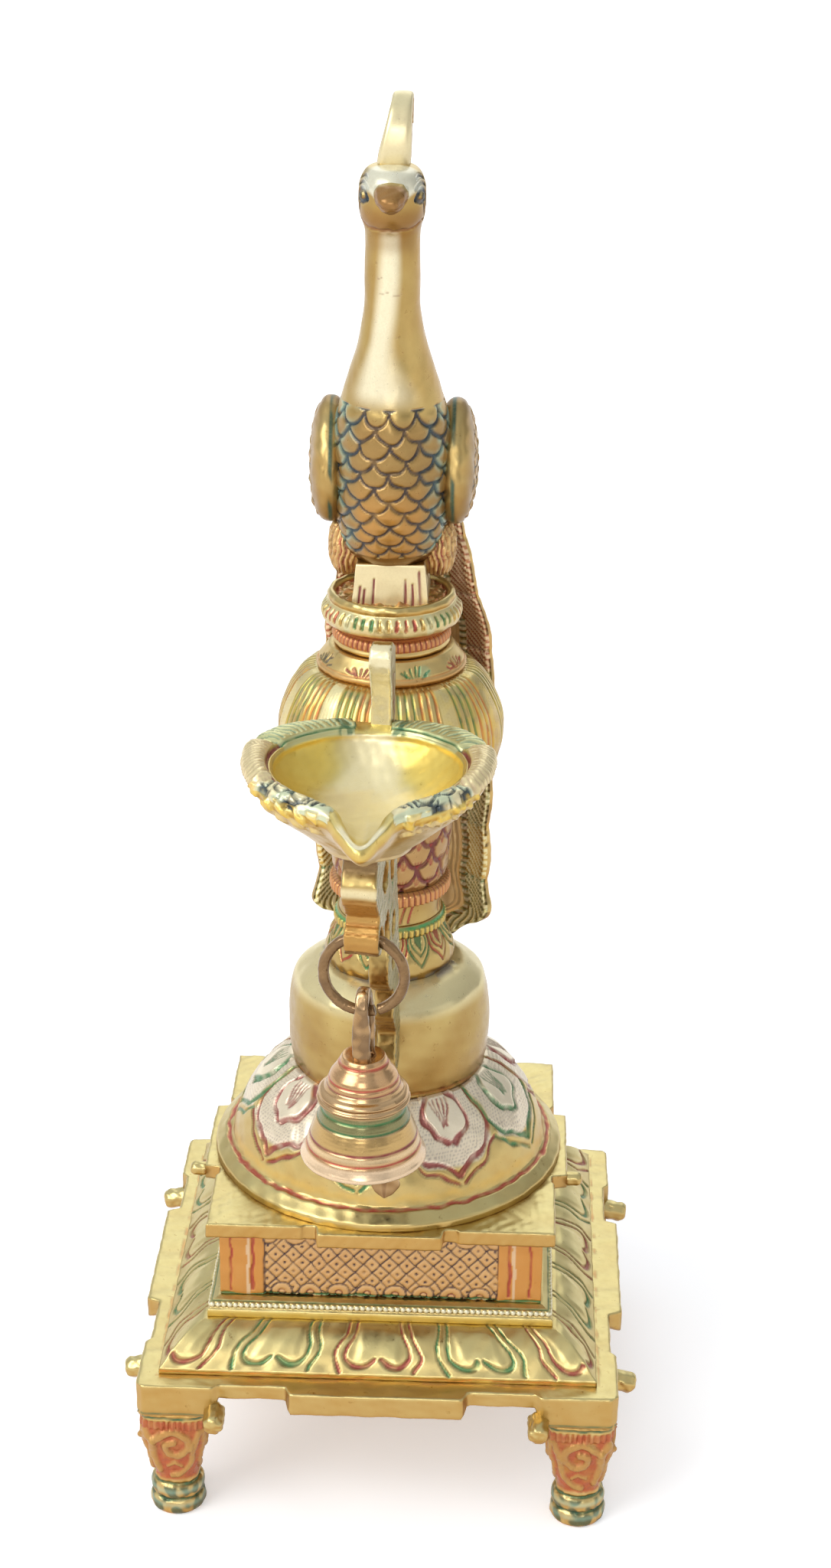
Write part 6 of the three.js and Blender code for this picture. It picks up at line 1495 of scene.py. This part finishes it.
bell_axis = pivots["bell"] * [1, 1, 0]
arch = np.radians(np.linspace(0, 180, 60))
loop_line = np.concatenate([
    even([(3.4, LOOP_LOW - 0.5), (LOOP_HALF, LOOP_LOW + 6), (LOOP_HALF, ARCH_FOOT)], 0.5)[:-1],
    np.stack([LOOP_HALF * np.cos(arch), ARCH_FOOT + 5.9 * np.sin(arch)], axis=1),
    even([(-LOOP_HALF, ARCH_FOOT), (-LOOP_HALF, LOOP_LOW + 6), (-3.4, LOOP_LOW - 0.5)], 0.5)[1:]])
loop_path = bell_axis + loop_line[:, :1] * FORWARD + loop_line[:, 1:] * UP
slim = 2.6 - 0.7 * ease((loop_path[:, 2] - ARCH_FOOT + 6) / 10)
loop = swept(loop_path, SIDE, np.cross(heading(loop_path), SIDE), slim, 1.5, 4.0, 40)
loop.rough(0.12, 4, 134)
loop.tint(shade("6B5034"), 0.65 * ease(0.8 + loop.wave(6, 135)))
shank = stem(bell_axis + UP * SHANK_LOW, UP, straight([(1.7, 0), (1.7, 5)], 0.6))
eye_path, eye_out = circle(bell_axis + UP * pivots["clapper"][2], 2.2, FORWARD, full_turn(48))
eye = swept(eye_path, eye_out, -np.cross(FORWARD, UP), 0.7, 0.85, 2.0, 16, loop=True)
cast("bell_loop", "copper_brass", loop, shank, eye, body="bell")

# %% [markdown]
# The bell is turned on a lathe from thick copper-rich brass: its profile swells to a double bead ring and
# flares to the lip, and the turner's tool leaves thin grooves, filled red and green. The wall is drawn too,
# because one looks up into the bell when it swings.
# %% Bell
MOUTH, BEAD, CROWN = 18.6, 13.0, 6.5
LOWER_BELL = [(MOUTH - 0.3, 0), (MOUTH, 0.03), (MOUTH - 1.1, 0.1), (MOUTH - 3.6, 0.31), (MOUTH - 5.3, 0.43),
              (BEAD - 1, 0.54)]
BAND = [(BEAD - 0.9, 0.55), (BEAD + 0.5, 0.57), (BEAD + 0.8, 0.59), (BEAD - 0.1, 0.615), (BEAD + 0.4, 0.64),
        (BEAD - 0.2, 0.67), (BEAD - 1.4, 0.69)]
UPPER_BELL = [(BEAD - 1.9, 0.72), (CROWN + 3.4, 0.82), (CROWN + 1.6, 0.9), (CROWN + 0.7, 0.95), (CROWN - 0.2, 0.995)]
bell_low = level("bell")
bell_tall = top_of("bell") - bell_low
face = even(np.concatenate([curve(part, 0.03) for part in (LOWER_BELL, BAND, UPPER_BELL)]) * [1, bell_tall], 0.34)
inner = [(CROWN - 0.4, bell_tall - 0.1), (2.4, bell_tall), (2.4, bell_tall - 2), (CROWN - 1, bell_tall - 2.6),
         (BEAD - 3.6, 0.7 * bell_tall), (BEAD - 3, 0.5 * bell_tall), (MOUTH - 5.6, 0.3 * bell_tall),
         (MOUTH - 3.1, 0.1 * bell_tall), (MOUTH - 1.6, 0.0)]
bell = turned(np.concatenate([face, straight(inner, 1.2)]), bell_low, 250, loop=True)
bell.points = bell.points + bell_axis
bell.shown = np.arange(bell.relief.shape[0])[:, None] < len(face)
rise = (bell.points[..., 2] - bell_low) / bell_tall
for at, width, ink in ((0.945, 1.1, RED), (0.79, 0.9, RED), (0.735, 0.6, DEEP_RED), (0.485, 1.0, LEAF * 0.6),
                       (0.40, 0.7, GREEN * 0.7), (0.235, 0.85, DEEP_RED), (0.145, 0.8, RED)):
    bell.cut(np.abs(rise - at) * bell_tall, width, 0.28, ink, 1.0)
bell.tint(LEAF * 0.4 + RED * 0.04, 0.6 * ease((rise - 0.38) / 0.02) * ease((0.54 - rise) / 0.02))
bell.tint(YELLOW * 0.7, 0.22 * ease((rise - 0.24) / 0.02) * ease((0.39 - rise) / 0.02))
bell.tint(shade("C98A5A"), 0.18 * (ease((rise - 0.73) / 0.03) + ease((0.24 - rise) / 0.03)))
# painted highlight: pale bands on the skirt and lip
bell.tint(shade("F8DEBA"), 0.6 * ease((0.13 - rise) / 0.03))
bell.tint(shade("F0D8A8"), 0.55 * ease(1 - np.abs(rise - 0.19) / 0.04))
bell.relief += 0.012 * np.sin(bell.along * 5.2) * bell.shown
bell.rough(0.05, 8, 141)
cast("bell", "copper_brass", bell, body="bell")

# %% [markdown]
# The clapper hangs in the bell's small eye on a wire loop. Its rod leans to one side, and a flat leaf at its
# end looks out under the lip.
# %% Clapper
WIRE_HALF, LEAN = 2.6, 6.4
LEAF_ROWS = [(0.5, 0.1), (2.6, 1.4), (4.4, 4.6), (3.7, 7.9), (1.8, 9.9)]
hang, leaf_low = pivots["clapper"], level("clapper")
wire_path, wire_out = circle(hang - WIRE_HALF * UP, WIRE_HALF, SIDE, full_turn(56))
wire = swept(wire_path, wire_out, -np.cross(SIDE, UP), 0.8, 0.8, 2.0, 16, loop=True)
rod_top, rod_end = hang - 2 * WIRE_HALF * UP, hang + LEAN * SIDE + (leaf_low + 8.5 - hang[2]) * UP
rod = stem(rod_top, rod_end - rod_top, straight([(0.8, 0), (0.8, np.linalg.norm(rod_end - rod_top))], 0.6), 18)
half, height = (column[:, None] for column in curve(LEAF_ROWS, 0.35).T)
leaf = swept(hang * [1, 1, 0] + LEAN * SIDE + (leaf_low + height) * UP, SIDE, np.cross(UP, SIDE),
             half[:, 0], 0.45 + 0.75 * np.sqrt(half[:, 0] / 4.5), 3.2, 60)
leaf.cut(np.abs(fold(leaf.across, 180, 90)) / 20, 0.9, 0.2, ORANGE * 0.2, 0.4)
leaf.rough(0.15, 4, 142)
cast("clapper", "copper_brass", wire, rod, leaf, body="clapper")

# %% [markdown]
# Rod, washer, nut and screws are steel and mostly hidden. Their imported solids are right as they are, so they
# only get the steel finish.
# %% Steel fasteners
fasteners = [name for name in frame["nodes"] if name.startswith(("tie_", "leg_screw", "arm_screw"))]
for name in fasteners:
    frame["nodes"][name].material_slots[0].material = FINISH["steel"]
print("steel", fasteners)

# %% [markdown]
# The lamp stands on a plain white floor. The camera was worked out from the photograph's square plates and
# round rings: about 0.95 m away, looking down by 23 degrees through a 62 mm lens on a 36 mm sensor.
# Its axes are built from yaw, pitch and roll, and written straight into the camera's matrix.
# %% Camera
from mathutils import Matrix, Vector

LENS_MM, SENSOR_MM, CLIP_METRES = 62.476, 36.0, (0.05, 60)
PITCH, YAW, ROLL = 0.4047, -0.0354, 0.0099
EYE = np.array([35.07, -773.19, 555.46])

level_way = np.array([math.sin(YAW), math.cos(YAW), 0.0])
look = math.cos(PITCH) * level_way - math.sin(PITCH) * UP
right = np.cross(level_way, UP)
over = np.cross(right, look)
right, over = math.cos(ROLL) * right + math.sin(ROLL) * over, math.cos(ROLL) * over - math.sin(ROLL) * right
camera_data = bpy.data.cameras.new("lamp_camera")
camera_data.lens, camera_data.sensor_width = LENS_MM, SENSOR_MM
camera_data.clip_start, camera_data.clip_end = CLIP_METRES
camera = put("lamp_camera", camera_data)
eye = EYE * MM + AXIS
camera.matrix_world = Matrix([[right[k], over[k], -look[k], eye[k]] for k in range(3)] + [[0, 0, 0, 1]])
bpy.context.scene.camera = camera
print("camera at", np.round(eye, 3))

# %% [markdown]
# The light is a studio's: one large soft lamp high on the left in front, a small one in front, a weak one on
# the right and one behind, in a pale room that is brighter above than at eye level and dimmer on the right.
# Brass shows what it mirrors, so these slow changes make the tops pale, the walls golden and the right deep.
# %% Light
LAMPS = [("key_lamp", (-1000, -850, 1250), 1.0, 15.0), ("front_lamp", (-80, -1500, 900), 0.5, 4.0),
         ("fill_lamp", (1100, -400, 700), 0.8, 1.0), ("back_lamp", (80, 1300, 1100), 1.2, 4.0)]
LAMP_AIM = np.array([0, 0, 200]) * MM + AXIS
ROOM_LOW, ROOM_HIGH = np.array([0.55, 0.55, 0.54]), np.array([0.76, 0.79, 0.84])
scene = bpy.context.scene
scene.view_settings.view_transform = "Standard"
for name, place, size, watts in LAMPS:
    data = bpy.data.lights.new(name, "AREA")
    data.shape, data.size, data.energy = "SQUARE", size, watts
    lamp = put(name, data)
    lamp.location = np.array(place) * MM + AXIS
    lamp.rotation_euler = (Vector(LAMP_AIM) - lamp.location).to_track_quat("-Z", "Y").to_euler()

scene.world = bpy.data.worlds.new("pale_room")
scene.world.use_nodes = True
wiring = Wiring(scene.world.node_tree)
split = wiring.add("SeparateXYZ", Vector=wiring.add("TexCoord").outputs["Generated"])
ramp = wiring.add("ValToRGB", Fac=split.outputs["Z"])
for element, position, colour in zip(ramp.color_ramp.elements, (0.0, 0.75), (ROOM_LOW, ROOM_HIGH)):
    element.position, element.color = position, (*colour, 1)
dimmer = wiring.add("MapRange", Value=split.outputs["X"], From_Min=-0.1, From_Max=0.9, To_Min=1.0, To_Max=0.56)
background = scene.world.node_tree.nodes["Background"]
wiring.feed(background.inputs["Color"], ramp.outputs["Color"])
wiring.feed(background.inputs["Strength"], dimmer.outputs["Result"])
print("lamps", [name for name, *_ in LAMPS])

# %% [markdown]
# The floor is pale paper that curves up far away, as a studio's paper roll does. In the photograph it is
# white all over, so it adds a little light of its own for rays that are seen directly or mirrored, more of
# it far away, where the lamps don't reach. Near the lamp it still shows the soft shadow.
# %% Floor
SIDES, REACH, RISE = 64, [9.0, 10.6, 11.6, 12.0, 12.2], [0.0, 0.1, 0.45, 1.0, 1.7]
PAPER, WHITE = np.array([0.82, 0.82, 0.82]), np.ones(3)
turn = full_turn(SIDES)
corners = np.stack(np.broadcast_arrays(np.outer(REACH, np.cos(turn)), np.outer(REACH, np.sin(turn)),
                                       np.array(RISE)[:, None]), axis=-1).reshape(-1, 3)
k = np.arange(SIDES * (len(REACH) - 1))
beside = k - k % SIDES + (k + 1) % SIDES
walls = np.stack([k + SIDES, beside + SIDES, beside, k], axis=-1)
floor_mesh = bpy.data.meshes.new("floor")
floor_mesh.from_pydata(corners.tolist(), [], [list(range(SIDES))] + walls.tolist())
floor = put("floor", floor_mesh)
paper = bpy.data.materials.new("paper")
paper.use_nodes = True
wiring = Wiring(paper.node_tree)
rays = wiring.add("LightPath").outputs
seen = wiring.maths("ADD", rays["Is Camera Ray"], rays["Is Glossy Ray"])
seen = wiring.maths("ADD", seen, rays["Is Transmission Ray"])
far = wiring.add("VectorMath", wiring.add("TexCoord").outputs["Object"], operation="LENGTH").outputs["Value"]
reach = wiring.add("MapRange", Value=far, From_Min=0.5, From_Max=2.2, To_Min=0.38, To_Max=0.75,
                   interpolation_type="SMOOTHSTEP").outputs["Result"]
for socket, value in (("Base Color", PAPER), ("Roughness", 0.9), ("Specular IOR Level", 0.1),
                      ("Emission Color", WHITE),
                      ("Emission Strength", wiring.maths("MULTIPLY", seen, reach, clamp=False))):
    wiring.feed(paper.node_tree.nodes["Principled BSDF"].inputs[socket], value)
floor_mesh.materials.append(paper)
print("floor reaches", REACH[-1], "m")
